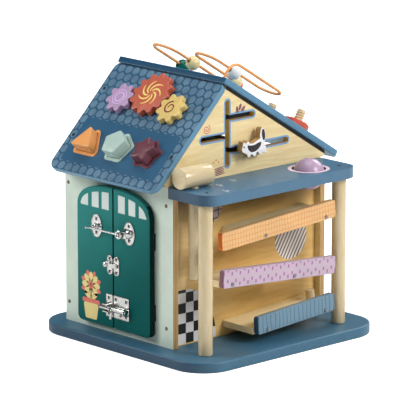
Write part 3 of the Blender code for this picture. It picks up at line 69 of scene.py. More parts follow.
LAMPS = {
    "door_side_lamp": {"place": (-1.3, -2.2, 2.0), "size": 1.5, "energy": 46, "color": (1.0, 0.99, 0.97)},
    "near_door_lamp": {"place": (-0.8, -1.0, 0.75), "size": 0.4, "energy": 4.2, "color": (1.0, 1.0, 0.98)},
    "porch_side_lamp": {"place": (2.3, 0.9, 1.75), "size": 1.2, "energy": 69, "color": (1.0, 0.98, 0.95)},
    "lens_side_lamp": {"place": (2.6, -1.0, 1.6), "size": 1.5, "energy": 10, "color": (1.0, 1.0, 1.0)},
    "back_lamp": {"place": (-0.4, 2.5, 1.9), "size": 1.5, "energy": 42, "color": (0.98, 0.99, 1.0)},
    "high_lamp": {"place": (0.0, 0.0, 3.0), "size": 1.8, "energy": 40, "color": (1.0, 1.0, 1.0)},
}
SKY_LEVEL = 0.018
SKY_MIRRORED = 0.14
FLOOR_REACH = 6.0
FLOOR_GLOW = 0.72
FLOOR_GRAY = (0.86, 0.86, 0.86, 1)
WHITE = (1, 1, 1, 1)


def aimed(name, data, place):
    """Object at a place, its -Z axis towards the house's middle and its +Y axis upright."""
    item = bpy.data.objects.new(name, data)
    item.location = place
    way = Vector(LENS_TARGET) - item.location
    item.rotation_euler = way.to_track_quat("-Z", "Y").to_euler()
    bpy.context.scene.collection.objects.link(item)
    return item


def feed(node, feeds):
    """Give inputs of a node a number, a colour, or the socket or value that feeds them."""
    for name, value in feeds.items():
        source = getattr(value, "socket", value)
        if isinstance(source, bpy.types.NodeSocket):
            node.id_data.links.new(source, node.inputs[name])
        else:
            node.inputs[name].default_value = source


def add(tree, kind, feeds=None, **settings):
    """Shader node with its settings and with what feeds its inputs."""
    node = tree.nodes.new("ShaderNode" + kind)
    for name, value in settings.items():
        setattr(node, name, value)
    feed(node, feeds or {})
    return node


camera_data = bpy.data.cameras.new("view")
camera_data.lens = LENS_LENGTH
camera_data.sensor_width = LENS_FILM
camera_data.clip_end = LENS_REACH
bpy.context.scene.camera = aimed("view", camera_data, LENS_PLACE)
bpy.context.scene.view_settings.view_transform = "Standard"
for name, settings in LAMPS.items():
    lamp = bpy.data.lights.new(name, "AREA")
    for setting in ("size", "energy", "color"):
        setattr(lamp, setting, settings[setting])
    aimed(name, lamp, settings["place"])

world = bpy.data.worlds.new("studio")
world.use_nodes = True
bpy.context.scene.world = world
tree = world.node_tree
path = add(tree, "LightPath").outputs
dim = add(tree, "MapRange", {"Value": path["Is Glossy Ray"], "To Min": SKY_LEVEL, "To Max": SKY_MIRRORED})
lit = add(tree, "MapRange", {"Value": path["Is Camera Ray"], "To Min": dim.outputs[0], "To Max": 1.0})
feed(tree.nodes["Background"], {"Strength": lit.outputs[0], "Color": WHITE})

floor_look = bpy.data.materials.new("white_floor")
floor_look.use_nodes = True
tree = floor_look.node_tree
tree.nodes.remove(tree.nodes["Principled BSDF"])
matt = add(tree, "BsdfDiffuse", {"Color": FLOOR_GRAY}).outputs[0]
glow = add(tree, "Emission", {"Color": WHITE, "Strength": FLOOR_GLOW}).outputs[0]
both = add(tree, "AddShader", {0: matt, 1: glow}).outputs[0]
seen = add(tree, "LightPath").outputs["Is Camera Ray"]
pick = add(tree, "MixShader", {0: seen, 1: matt, 2: both}).outputs[0]
feed(tree.nodes["Material Output"], {"Surface": pick})
floor_corners = [(x * FLOOR_REACH, y * FLOOR_REACH, 0) for x, y in ((-1, -1), (1, -1), (1, 1), (-1, 1))]
floor_mesh = bpy.data.meshes.new("studio_floor")
floor_mesh.from_pydata(floor_corners, [], [(0, 1, 2, 3)])
floor_mesh.materials.append(floor_look)
floor = bpy.data.objects.new("studio_floor", floor_mesh)
bpy.context.scene.collection.objects.link(floor)


# Base board
# A thick board of painted MDF with round corners and softly rounded edges. The paint has a faint
# orange-peel skin and cloudy roller marks, and its front-facing sides are darkened as painted shade.
BASE_LENGTH = 0.348
BASE_DEPTH = 0.350
BASE_THICKNESS = 0.015
BASE_CORNER = 0.050
BASE_EASE = 0.0025
SLATE_BLUE = (52, 98, 124)
# Darker blue of the sides that face the front: painted shade
SLATE_BLUE_SHADED_SIDE = (26, 66, 92)
TURN_START = 0.3
TURN_END = 0.95


def ink(red, green, blue):
    """Linear colour of an 8-bit one."""
    share = np.array((red, green, blue)) / 255
    bent = np.where(share <= 0.04045, share / 12.92, ((share + 0.055) / 1.055) ** 2.4)
    return (*bent.tolist(), 1.0)


def group(name, inputs, outputs):
    """Empty node group with named sockets; returns it, its inputs' sockets and its output node."""
    tree = bpy.data.node_groups.new(name, "ShaderNodeTree")
    for label, kind, value in inputs:
        socket = tree.interface.new_socket(label, in_out="INPUT", socket_type="NodeSocket" + kind)
        if value is not None:
            socket.default_value = value
    for label, kind in outputs:
        tree.interface.new_socket(label, in_out="OUTPUT", socket_type="NodeSocket" + kind)
    return tree, tree.nodes.new("NodeGroupInput").outputs, tree.nodes.new("NodeGroupOutput")


class Value:
    """A number that varies over a surface: a socket that takes part in sums and comparisons."""

    def __init__(self, socket):
        self.socket = socket

    def math(self, operation, *others):
        """Result of a math node on this value and others."""
        return computed(self.socket.id_data, operation, self, *others)

    def __add__(self, other):
        return self.math("ADD", other)

    def __sub__(self, other):
        return self.math("SUBTRACT", other)

    def __rsub__(self, other):
        return computed(self.socket.id_data, "SUBTRACT", other, self)

    def __mul__(self, other):
        return self.math("MULTIPLY", other)

    def __truediv__(self, other):
        return self.math("DIVIDE", other)

    def __lt__(self, other):
        return self.math("LESS_THAN", other)

    def __gt__(self, other):
        return self.math("GREATER_THAN", other)

    def __abs__(self):
        return self.math("ABSOLUTE")


def computed(tree, operation, *values):
    """Value from a math node on numbers and values."""
    return Value(add(tree, "Math", dict(enumerate(values)), operation=operation).outputs[0])


def ranged(value, low, high, first=0.0, last=1.0, **settings):
    """Value stretched from one range to another and held at its ends."""
    feeds = {"Value": value, "From Min": low, "From Max": high, "To Min": first, "To Max": last}
    return Value(add(value.socket.id_data, "MapRange", feeds, **settings).outputs[0])


def noise(place, **feeds):
    """Soft noise over a place."""
    return Value(add(place.id_data, "TexNoise", {"Vector": place, **feeds}).outputs[0])


def here(tree):
    """Place on the piece, in the house's own metres."""
    return add(tree, "TexCoord").outputs["Object"]


def along_way(tree, way, start=None):
    """Distance of a vector, or of the place on the piece, along a direction."""
    feeds = {0: here(tree) if start is None else start, 1: tuple(way)}
    return Value(add(tree, "VectorMath", feeds, operation="DOT_PRODUCT").outputs["Value"])


def bump(height, strength, distance):
    """Normal of a surface raised by a value."""
    feeds = {"Height": height, "Strength": strength, "Distance": distance}
    return add(height.socket.id_data, "Bump", feeds).outputs[0]


def blended(tree, share, first, second, how="MIX"):
    """Colour mixed from two colours by a share."""
    feeds = {0: share, 6: first, 7: second}
    return add(tree, "Mix", feeds, data_type="RGBA", blend_type=how).outputs[2]


def paint_group():
    """Paint film: cloudy roller marks, fine specks and an orange-peel skin on one colour."""
    tree, given, out = group(
        "paint_film",
        [("Color", "Color", (0.5, 0.5, 0.5, 1)), ("Gloss", "Float", 0.4), ("Peel", "Float", 0.12)],
        [("Color", "Color"), ("Roughness", "Float"), ("Normal", "Vector")],
    )
    place = here(tree)
    cloud = noise(place, Scale=26, Detail=4, Roughness=0.6)
    speck = noise(place, Scale=900, Detail=2)
    level = ranged(cloud, 0.3, 0.7, first=0.93, last=1.05) * ranged(speck, 0.3, 0.7, first=0.97, last=1.03)
    tone = add(tree, "VectorMath", {0: given["Color"], "Scale": level}, operation="SCALE").outputs[0]
    rough = ranged(cloud, 0.3, 0.7, first=-0.05, last=0.05) + Value(given["Gloss"])
    peel = noise(place, Scale=420, Detail=3)
    feed(out, {"Color": tone, "Roughness": rough, "Normal": bump(peel, given["Peel"], distance=0.0004)})
    return tree


PAINT_FILM = paint_group()


def new_look(name, slot, mirror=0.3):
    """Material of one of the record's slots with an empty Principled shader, its tree and the shader."""
    look = bpy.data.materials.new(name)
    look.use_nodes = True
    look["slot"] = slot
    shader = look.node_tree.nodes["Principled BSDF"]
    shader.inputs["Specular IOR Level"].default_value = mirror
    return look, look.node_tree, shader


def coat(shader, colour, gloss=0.42, peel=0.12):
    """Run a colour through the paint film into the shader."""
    feeds = {"Color": colour, "Gloss": gloss, "Peel": peel}
    film = add(shader.id_data, "Group", feeds, node_tree=PAINT_FILM).outputs
    feed(shader, {"Base Color": film["Color"], "Roughness": film["Roughness"], "Normal": film["Normal"]})


def painted(name, slot, rgb, gloss=0.42, peel=0.12, mirror=0.3):
    """Plain painted finish of one colour."""
    look, tree, shader = new_look(name, slot, mirror)
    coat(shader, ink(*rgb), gloss, peel)
    return look


def circle(x, y, radius, count, start=0.0):
    """Points of a circle, counterclockwise, as an array (point, 2)."""
    angle = start + 2 * np.pi * np.arange(count) / count
    return np.column_stack([x + radius * np.cos(angle), y + radius * np.sin(angle)])


def rounded(corners, radius, steps=8):
    """Outline through counterclockwise corners, each turned into an arc of its radius.

    An arc's centre lies where both edges, moved inwards by the radius, cross. Its points swing from the
    first edge's outward normal to the second's.
    """
    corner = np.asarray(corners, float)
    radius = np.broadcast_to(np.asarray(radius, float), len(corner))
    before = corner - np.roll(corner, 1, 0)
    after = np.roll(corner, -1, 0) - corner
    first = np.arctan2(-before[:, 0], before[:, 1])
    turn = np.arctan2(
        before[:, 0] * after[:, 1] - before[:, 1] * after[:, 0], (before * after).sum(1))
    middle = first + turn / 2
    side = np.where(turn < 0, -1, 1)
    reach = side * radius / np.cos(turn / 2)
    centre = corner - reach[:, None] * np.column_stack([np.cos(middle), np.sin(middle)])
    angle = first[:, None] + turn[:, None] * np.linspace(0, 1, steps)
    swing = (side * radius)[:, None, None] * np.stack([np.cos(angle), np.sin(angle)], -1)
    return (centre[:, None] + swing).reshape(-1, 2)


def outward(outline):
    """Outward mitre of each point of a counterclockwise outline, one unit from both its edges."""
    before = outline - np.roll(outline, 1, 0)
    after = np.roll(outline, -1, 0) - outline
    before = before / np.maximum(np.linalg.norm(before, axis=1), 1e-12)[:, None]
    after = after / np.maximum(np.linalg.norm(after, axis=1), 1e-12)[:, None]
    normals = np.stack([before, after])[..., ::-1] * (1, -1)
    return normals.sum(0) / (1 + (normals[0] * normals[1]).sum(1))[:, None]


def level(outline, height):
    """Outline lifted to a height, as one ring (point, 3)."""
    return np.column_stack([outline, np.full(len(outline), height)])


def skin(rings, closed=False):
    """Points and faces of a surface through rings of points.

    Each ring is closed on itself and joined to the next one by quads. The first and last ring are capped
    by one face each, or joined to each other where the skin is closed.
    """
    rings = np.asarray(rings, float)
    count, size = rings.shape[:2]
    index = np.arange(count * size).reshape(count, size)
    lower = index if closed else index[:-1]
    upper = np.roll(index, -1, 0) if closed else index[1:]
    quads = np.stack([lower, np.roll(lower, -1, 1), np.roll(upper, -1, 1), upper], -1)
    faces = quads.reshape(-1, 4).tolist()
    if not closed:
        faces += [index[0, ::-1].tolist(), index[-1].tolist()]
    return rings.reshape(-1, 3), faces


def eased(outline, low, high, ease=0.0, steps=4):
    """Rings up the side of a board, its two edges rounded by a quarter circle of radius ease."""
    if ease == 0:
        return [level(outline, low), level(outline, high)]
    turn = np.linspace(0, np.pi / 2, steps)
    draw = ease * (1 - np.cos(turn))
    rise = ease * (1 - np.sin(turn))
    mitre = outward(outline)
    rings = [level(outline - mitre * d, low + r) for d, r in zip(draw[::-1], rise[::-1])]
    return rings + [level(outline - mitre * d, high - r) for d, r in zip(draw, rise)]


def plank(outline, low, high, ease=0.0, steps=4):
    """Board of an outline between two heights, with rounded edges."""
    return skin(eased(outline, low, high, ease, steps))


def laid(part, origin, along, across):
    """A part drawn flat, set on a plane: X runs along, Y across and Z out of the plane."""
    points, faces = part
    axes = np.stack([along, across, np.cross(along, across)]).astype(float)
    return points @ axes + np.array(origin, float), faces


def made(name, parts, look, body, node=None, crease=40, place=None):
    """One object of several parts with its finish, riding on a body and standing for a CAD node."""
    parts = [place(part) for part in parts] if place else parts
    starts = np.cumsum([0] + [len(points) for points, shapes in parts]).tolist()
    faces = [[i + start for i in shape] for start, (points, shapes) in zip(starts, parts) for shape in shapes]
    mesh = bpy.data.meshes.new(name)
    mesh.from_pydata(np.concatenate([points for points, shapes in parts]).tolist(), [], faces)
    shape = bmesh.new()
    shape.from_mesh(mesh)
    bmesh.ops.recalc_face_normals(shape, faces=shape.faces)
    shape.to_mesh(mesh)
    shape.free()
    mesh.shade_smooth()
    mesh.set_sharp_from_angle(angle=np.radians(crease))
    mesh.materials.append(look)
    item = bpy.data.objects.new(name, mesh)
    bpy.context.scene.collection.objects.link(item)
    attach(item, body)
    if node:
        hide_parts(node)
    return item


def dressed(look, *names):
    """Give CAD nodes a finish."""
    for name in names:
        NODES[name].data.materials.clear()
        NODES[name].data.materials.append(look)


def box_corners(left, right, low, high):
    """Corners of a rectangle, counterclockwise."""
    return [(left, low), (right, low), (right, high), (left, high)]


def turned_to(tree, way):
    """Share that rises smoothly as a rounded surface turns to face a direction of the piece."""
    normal = add(tree, "TexCoord").outputs["Normal"]
    return ranged(along_way(tree, way, normal), TURN_START, TURN_END)


base_look, tree, shader = new_look("base_blue", "blue", mirror=0.5)
# Painted shade: sides turned to the front get the darker blue
side = turned_to(tree, (0, -1, 0))
coat(shader, blended(tree, side, ink(*SLATE_BLUE), ink(*SLATE_BLUE_SHADED_SIDE)), gloss=0.42, peel=0.06)
half_length, half_depth = BASE_LENGTH / 2, BASE_DEPTH / 2
base_outline = rounded(box_corners(-half_length, half_length, -half_depth, half_depth), BASE_CORNER, steps=24)
base = plank(base_outline, 0, BASE_THICKNESS, BASE_EASE, steps=6)
made("base_board_painted", [base], base_look, "house", "base_board")


# Panels and walls
# Nine-millimetre plywood. The front, the back and the outer gable are painted mint outside, and the
# porch gable is clear-lacquered. Cut edges show the plies.
WALL_X = 0.074
MINT = (195, 209, 197)
PALE_PLY = (230, 214, 168)
DARK_PLY = (203, 172, 114)
EDGE_PALE = (214, 178, 122)
EDGE_DARK = (128, 88, 48)
PLY_PITCH = 0.0030
# The roof's planes, which the shade under its boards follows
ROOF_BOARD = 0.009
ROOF_SEAT = 0.0003
FRONT_PITCH = np.radians(45.2)
BACK_PITCH = np.radians(31.76)
FRONT_SLOPE_LENGTH = 0.1849
EAVE_Y = -0.1748
EAVE_REACH = 0.0308
EAVE_LIFT = 0.2578
FRONT_UP = np.array((0, np.cos(FRONT_PITCH), np.sin(FRONT_PITCH)))
FRONT_OUT = np.array((0, -np.sin(FRONT_PITCH), np.cos(FRONT_PITCH)))
BACK_DOWN = np.array((0, np.cos(BACK_PITCH), -np.sin(BACK_PITCH)))
BACK_OUT = np.array((0, np.sin(BACK_PITCH), np.cos(BACK_PITCH)))
EAVE = np.array((0, EAVE_Y, EAVE_LIFT + ROOF_BOARD / np.cos(FRONT_PITCH) - EAVE_REACH * np.tan(FRONT_PITCH)))
RIDGE = EAVE + FRONT_UP * FRONT_SLOPE_LENGTH + BACK_OUT * (ROOF_BOARD + ROOF_SEAT)


def stretched(place, factors):
    """Place with each coordinate multiplied by its own factor."""
    return add(place.id_data, "VectorMath", {0: place, 1: factors}, operation="MULTIPLY").outputs[0]


def clamped(value):
    """Value held between zero and one."""
    return Value(add(value.socket.id_data, "Clamp", {0: value}).outputs[0])


def grain_group():
    """Wood grain along local X: fine fibres, wide growth bands bent by noise, and short pores."""
    tree, given, out = group(
        "wood_grain",
        [("Vector", "Vector", None), ("Pale", "Color", ink(*PALE_PLY)), ("Dark", "Color", ink(*DARK_PLY)),
         ("Contrast", "Float", 0.6)],
        [("Color", "Color"), ("Roughness", "Float"), ("Normal", "Vector")],
    )
    place = given["Vector"]
    fibre = noise(stretched(place, (5, 60, 60)), Scale=6, Detail=5, Roughness=0.65)
    lines = ranged(fibre, 0.32, 0.68)
    bent = noise(stretched(place, (3.5, 16, 16)), Scale=1.4, Detail=2)
    bands = ranged((bent * 55).math("SINE"), -1, 1)
    pores = ranged(noise(stretched(place, (90, 1300, 1300)), Scale=1, Detail=1), 0.62, 0.72)
    share = clamped((lines * 0.55 + bands * 0.35 + pores * 0.35) * Value(given["Contrast"]))
    feed(out, {
        "Color": blended(tree, share, given["Pale"], given["Dark"]),
        "Roughness": ranged(fibre, 0, 1, first=0.45, last=0.6),
        "Normal": bump(fibre - pores, strength=0.12, distance=0.0003),
    })
    return tree


def ply_group():
    """Cut edge of plywood: alternate pale and dark plies across one direction, roughened by noise."""
    inputs = [("Across", "Float", 0.0), ("Vector", "Vector", None)]
    tree, given, out = group("ply_edge", inputs, [("Color", "Color")])
    wave = (Value(given["Across"]) * (2 * np.pi / PLY_PITCH)).math("SINE")
    rough = noise(stretched(given["Vector"], (400, 400, 400)), Scale=1, Detail=3)
    share = clamped(ranged(wave, -0.6, 0.6) * 0.55 + rough * 0.3)
    feed(out, {"Color": blended(tree, share, ink(*EDGE_PALE), ink(*EDGE_DARK))})
    return tree


WOOD_GRAIN = grain_group()
PLY_EDGE = ply_group()


def facing(tree, way, limit=0.5):
    """One where the surface faces a direction of the piece, and zero elsewhere."""
    return along_way(tree, way, add(tree, "TexCoord").outputs["Normal"]) > limit


def wooden(name, slot, turn=(0, 0, 0), pale=PALE_PLY, dark=DARK_PLY, contrast=0.6, ply=None, lacquer=0.0):
    """Clear wood with its grain turned, and with plies on the faces that don't look along ply."""
    look, tree, shader = new_look(name, slot)
    shader.inputs["Coat Weight"].default_value = lacquer
    shader.inputs["Coat Roughness"].default_value = 0.14
    place = add(tree, "Mapping", {"Vector": here(tree), "Rotation": turn}).outputs[0]
    feeds = {"Vector": place, "Pale": ink(*pale), "Dark": ink(*dark), "Contrast": contrast}
    wood = add(tree, "Group", feeds, node_tree=WOOD_GRAIN).outputs
    colour = wood["Color"]
    if ply:
        face = facing(tree, ply) + facing(tree, [-w for w in ply])
        feeds = {"Across": along_way(tree, ply), "Vector": place}
        edge = add(tree, "Group", feeds, node_tree=PLY_EDGE).outputs[0]
        colour = blended(tree, face, edge, colour)
    feed(shader, {"Base Color": colour, "Roughness": wood["Roughness"], "Normal": wood["Normal"]})
    return look, tree, shader, colour


def paint_over(tree, shader, wood, face, rgb, gloss, peel):
    """Paint on the faces that a share picks, and clear wood elsewhere."""
    feeds = {"Color": ink(*rgb), "Gloss": gloss, "Peel": peel}
    film = add(tree, "Group", feeds, node_tree=PAINT_FILM).outputs
    feed(shader, {"Base Color": blended(tree, face, wood, film["Color"])})
    return film


for name, way, node in (
        ("mint_front", (0, -1, 0), "front_panel"), ("mint_back", (0, 1, 0), "back_panel"),
        ("mint_outer", (-1, 0, 0), "outer_wall")):
    look, tree, shader, wood = wooden(name, "mint", ply=[abs(w) for w in way])
    film = paint_over(tree, shader, wood, facing(tree, way), MINT, gloss=0.45, peel=0.12)
    feed(shader, {"Normal": film["Normal"]})
    dressed(look, node)

# Porch gable: painted shade under the shelf, deeper close under it, a painted shadow under the roof board,
# painted light on the slots' front-facing sides, and three prints.
# A check panel with a round shoulder stands low at the front, and a striped and a grid disc higher up.
UNDER_SHELF = 0.232
# Painted shade under the shelf: a darker, warmer tint that fades out towards the front
SHELF_SHADE_FROM, SHELF_SHADE_TO = -0.145, -0.090
SHELF_SHADE_TINT = (0.92, 0.74, 0.49, 1)
# Deeper painted shade close under the shelf
DEEP_SHADE_FROM, DEEP_SHADE_TO = 0.180, 0.228
DEEP_SHADE_TINT = (0.17, 0.09, 0.05, 1)
ROOF_SHADE_FROM, ROOF_SHADE_TO = 0.0050, 0.0042
ROOF_SHADE = (34, 27, 20)
# Painted light on the slots' inner sides that face the front
SLOTS_FROM = 0.245
SLOT_SIDE_LIGHT = (255, 214, 120)
CHECK = 0.0143
CHECK_FRONT, CHECK_FOOT = -0.126, 0.017
SHOULDER_Y, SHOULDER_REACH, SHOULDER_RISE = -0.112, 0.056, 0.076
STRIPED_DISC_Y, STRIPED_DISC_Z, STRIPED_DISC_RADIUS = 0.0875, 0.133, 0.0305
GRID_DISC_Y, GRID_DISC_Z, GRID_DISC_RADIUS = -0.067, 0.200, 0.022
GRID_LEAN = 0.1


def across_plane(tree, origin, along, across):
    """The two flat coordinates of a point on a plane with an origin and two directions."""
    local = add(tree, "VectorMath", {0: here(tree), 1: tuple(origin)}, operation="SUBTRACT").outputs[0]
    return along_way(tree, along, local), along_way(tree, across, local)


def softened(value, low, high):
    """Zero below low, one above high and a smooth rise between."""
    return ranged(value, low, high, interpolation_type="SMOOTHSTEP")


def stripe(value, pitch, width, soft, shift=0.0):
    """One on narrow lines that lie a pitch apart."""
    fold = abs((value + shift).math("WRAP", pitch / 2, -pitch / 2))
    return 1.0 - softened(fold, width / 2 - soft, width / 2 + soft)


def length(x, y):
    """Length of a flat vector."""
    return (x * x + y * y).math("SQRT")


def slanted(x, y, angle):
    """Flat coordinate along a direction at an angle."""
    return x * float(np.cos(angle)) + y * float(np.sin(angle))


porch_look, tree, shader, wood = wooden("porch_ply", "plywood", (0, 0, np.pi / 2), ply=(1, 0, 0))
y, z = across_plane(tree, (WALL_X, 0, 0), (0, 1, 0), (0, 0, 1))
below = z < UNDER_SHELF
# Painted shade: the wall under the shelf is darkened and warmed, less so near the front
shelf_shade = below * softened(y, SHELF_SHADE_FROM, SHELF_SHADE_TO)
wood = blended(tree, shelf_shade, wood, blended(tree, 1.0, wood, SHELF_SHADE_TINT, "MULTIPLY"))
# Painted shade: darkest just under the shelf
deep_shade = softened(z, DEEP_SHADE_FROM, DEEP_SHADE_TO) * below
wood = blended(tree, deep_shade, wood, blended(tree, 1.0, wood, DEEP_SHADE_TINT, "MULTIPLY"))
brink = float(BACK_OUT @ RIDGE) - ROOF_BOARD
shade = softened(along_way(tree, BACK_OUT), brink - ROOF_SHADE_FROM, brink - ROOF_SHADE_TO)
wood = blended(tree, shade * (y > float(RIDGE[1])), wood, ink(*ROOF_SHADE))
# Painted light: the slots' front-facing sides are brightened to a vivid orange
lit_slot_side = facing(tree, (0, -1, 0), limit=0.7) * (z > SLOTS_FROM)
wood = blended(tree, lit_slot_side * 0.9, wood, ink(*SLOT_SIDE_LIGHT))
front = facing(tree, (1, 0, 0), limit=0.9)
column = ((y - CHECK_FRONT) / CHECK).math("FLOOR")
row = ((z - CHECK_FOOT) / CHECK).math("FLOOR")
dark = (column + row).math("FLOORED_MODULO", 2.0)
reach = length((y - SHOULDER_Y).math("MAXIMUM", 0.0) / SHOULDER_REACH, (z - CHECK_FOOT) / SHOULDER_RISE)
patch = (reach < 1.0) * (y > CHECK_FRONT) * (z > CHECK_FOOT) * front
wood = blended(tree, patch, wood, blended(tree, dark, ink(204, 204, 206), ink(20, 20, 22)))
disc = (length(y - STRIPED_DISC_Y, z - STRIPED_DISC_Z) < STRIPED_DISC_RADIUS) * front
lines = stripe(slanted(y, z, np.radians(-32)), 0.0057, width=0.0024, soft=0.0004)
wood = blended(tree, disc, wood, blended(tree, lines, ink(232, 226, 224), ink(112, 104, 100)))
disc = (length(y - GRID_DISC_Y, z - GRID_DISC_Z) < GRID_DISC_RADIUS) * front
lines = stripe(slanted(y, z, GRID_LEAN), 0.0105, width=0.0014, soft=0.0003)
posts = stripe(slanted(y, z, GRID_LEAN + np.pi / 2), 0.0105, width=0.0014, soft=0.0003)
lines = lines.math("MAXIMUM", posts)
wood = blended(tree, disc, wood, blended(tree, lines, ink(196, 186, 186), ink(24, 22, 24)))
feed(shader, {"Base Color": wood})
dressed(porch_look, "porch_wall")


# Roof boards
# Two painted plywood boards with rounded corners and edges. The front one carries a printed field of
# round-cornered honeycomb cells, with a plain dark field behind its three shape holes.
ROOF_LEFT = -0.142
ROOF_RIGHT = 0.079
ROOF_EASE = 0.0014
# Radii of the lower and the upper corners, as each board is drawn
FRONT_CORNERS = (0.015, 0.015, 0.0100, 0.0100)
BACK_CORNERS = (0.0024, 0.0024, 0.015, 0.015)
BACK_SLOPE_LENGTH = 0.261
BLOCK_UP = 0.0524
BLOCK_CORNER = 0.002
HOLE_CLEARANCE = 0.0006
TRIANGLE_X, TRIANGLE_BASE, TRIANGLE_HEIGHT = -0.090, 0.039, 0.0336
PENTAGON_X, PENTAGON_RADIUS = -0.032, 0.020
STAR_X, STAR_REACH, STAR_NOTCH = 0.027, 0.021, 0.0125
ROOF_BLUE = (90, 132, 160)
RIDGE_BLUE = (22, 66, 96)
RIDGE_SHADE = (20, 30, 40)
RIDGE_SHADE_FROM, RIDGE_SHADE_TO = 0.0030, 0.0022
CELL_FILL = (90, 122, 145)
CELL_FILL_DARK = (78, 109, 132)
CELL_LINE = (32, 74, 104)
CELL_PITCH = 0.015
CELL_ROUND = 0.0066
CELL_SHIFT_X, CELL_SHIFT_UP = -0.0024, -0.0075
LINE_FROM, LINE_TO = 0.0058, 0.0065
DARK_FIELD = (34, 82, 114)
FIELD_X, FIELD_UP = -0.031, 0.053
FIELD_HALF_WIDTH, FIELD_HALF_HEIGHT, FIELD_CORNER = 0.097, 0.037, 0.004
FIELD_BLUR = 0.0003


def round_box(x, y, half_x, half_y, corner):
    """Distance outside a round-cornered rectangle about zero, and below zero inside it."""
    dx = abs(x) - (half_x - corner)
    dy = abs(y) - (half_y - corner)
    out = length(dx.math("MAXIMUM", 0.0), dy.math("MAXIMUM", 0.0))
    return out + dx.math("MAXIMUM", dy).math("MINIMUM", 0.0) - corner


def hex_distance(tree, x, y, pitch):
    """Distance from the middle of the nearest hexagon: to its upright or slanted sides, and straight.

    Two rectangular lattices, one shifted by half a cell both ways, hold all the middles. For each lattice
    the point is folded into its cell, and the nearer of the two middles counts.
    """
    rise = pitch * np.sqrt(3)
    folds = []
    for half in (0.0, 0.5):
        fx = abs((x + half * pitch).math("WRAP", pitch / 2, -pitch / 2))
        fy = abs((y + half * rise).math("WRAP", rise / 2, -rise / 2))
        slope = slanted(fx, fy, np.pi / 3)
        folds += [length(fx, fy), fx.math("MAXIMUM", slope)]
    size_a, side_a, size_b, side_b = folds
    nearer = size_a < size_b
    side = add(tree, "Mix", {0: nearer, 2: side_b, 3: side_a}, data_type="FLOAT").outputs[0]
    return Value(side), size_a.math("MINIMUM", size_b)


def star_corners(outer, inner):
    """Ten corners of a star, its points at the outer radius and its notches at the inner one."""
    points = circle(0, 0, outer, count=5, start=np.pi / 2)
    notches = circle(0, 0, inner, count=5, start=0.7 * np.pi)
    return np.stack([points, notches], 1).reshape(-1, 2)


def grown(corners, distance):
    """Corners moved outwards with their edges."""
    corners = np.asarray(corners, float)
    return corners + outward(corners) * distance


def holed(outline, holes, low, high, ease):
    """Board with holes: a filled flat curve, thickened and bevelled, with its doubled points merged."""
    curve = bpy.data.curves.new("board", "CURVE")
    curve.dimensions = "2D"
    curve.fill_mode = "BOTH"
    curve.extrude = (high - low) / 2 - ease
    curve.bevel_depth = ease
    curve.bevel_resolution = 2
    curve.offset = -ease
    for loop in [outline, *holes]:
        spline = curve.splines.new("POLY")
        spline.points.add(len(loop) - 1)
        spline.points.foreach_set("co", np.column_stack([level(loop, 0), np.ones(len(loop))]).ravel())
        spline.use_cyclic_u = True
    item = bpy.data.objects.new("board", curve)
    mesh = bpy.data.meshes.new_from_object(item)
    points = np.array([tuple(vertex.co) for vertex in mesh.vertices]) + (0, 0, (low + high) / 2)
    points, place = np.unique(np.round(points, 7), axis=0, return_inverse=True)
    faces = [place.ravel()[list(face.vertices)].tolist() for face in mesh.polygons]
    bpy.data.batch_remove([item, curve, mesh])
    return points, [face for face in faces if len(set(face)) == len(face)]


def roof_board(name, look, slope, corners, holes, place, out):
    """Roof board of a slope's length, its two broad faces shaded flat so that its edges don't tint them."""
    outline = rounded(box_corners(ROOF_LEFT, ROOF_RIGHT, 0, slope), corners, steps=12)
    board = holed(outline, holes, -ROOF_BOARD, 0, ROOF_EASE)
    item = made(name + "_painted", [board], look, "house", name, place=place)
    normals = np.array([tuple(face.normal) for face in item.data.polygons])
    item.data.polygons.foreach_set("use_smooth", np.abs(normals @ out) < 0.999)


def on_front_roof(part):
    """Part drawn in X and up the front slope, set on the front roof's face."""
    return laid(part, EAVE, (1, 0, 0), FRONT_UP)


def on_back_roof(part):
    """Part drawn in X and down the back slope, set on the back roof's face."""
    return laid(part, RIDGE, (1, 0, 0), BACK_DOWN)


half_base, half_height = TRIANGLE_BASE / 2, TRIANGLE_HEIGHT / 2
triangle = [(-half_base, -half_height), (half_base, -half_height), (0, half_height)]
BLOCKS = {
    "triangle": (TRIANGLE_X, triangle, BLOCK_CORNER),
    "pentagon": (PENTAGON_X, circle(0, 0, PENTAGON_RADIUS, count=5, start=np.pi / 2), BLOCK_CORNER),
    "star": (STAR_X, star_corners(STAR_REACH, STAR_NOTCH), (BLOCK_CORNER, BLOCK_CORNER / 2) * 5),
}
roof_look, tree, shader = new_look("roof_print", "blue")
x, up = across_plane(tree, EAVE, (1, 0, 0), FRONT_UP)
side, size = hex_distance(tree, x + CELL_SHIFT_X, up + CELL_SHIFT_UP, CELL_PITCH)
reach = side.math("MAXIMUM", size - (CELL_PITCH / 2 - CELL_ROUND))
tone = softened(noise(here(tree), Scale=55, Detail=1), 0.35, 0.65)
fill = blended(tree, tone, ink(*CELL_FILL), ink(*CELL_FILL_DARK))
cells = blended(tree, softened(reach, LINE_FROM, LINE_TO), fill, ink(*CELL_LINE))
field = round_box(x - FIELD_X, up - FIELD_UP, FIELD_HALF_WIDTH, FIELD_HALF_HEIGHT, FIELD_CORNER)
cells = blended(tree, softened(field, -FIELD_BLUR, FIELD_BLUR), ink(*DARK_FIELD), cells)
shade = softened(up, FRONT_SLOPE_LENGTH - RIDGE_SHADE_FROM, FRONT_SLOPE_LENGTH - RIDGE_SHADE_TO)
cells = blended(tree, shade, cells, ink(*RIDGE_SHADE))
coat(shader, blended(tree, facing(tree, FRONT_OUT, limit=0.7), ink(*ROOF_BLUE), cells), gloss=0.4, peel=0.1)
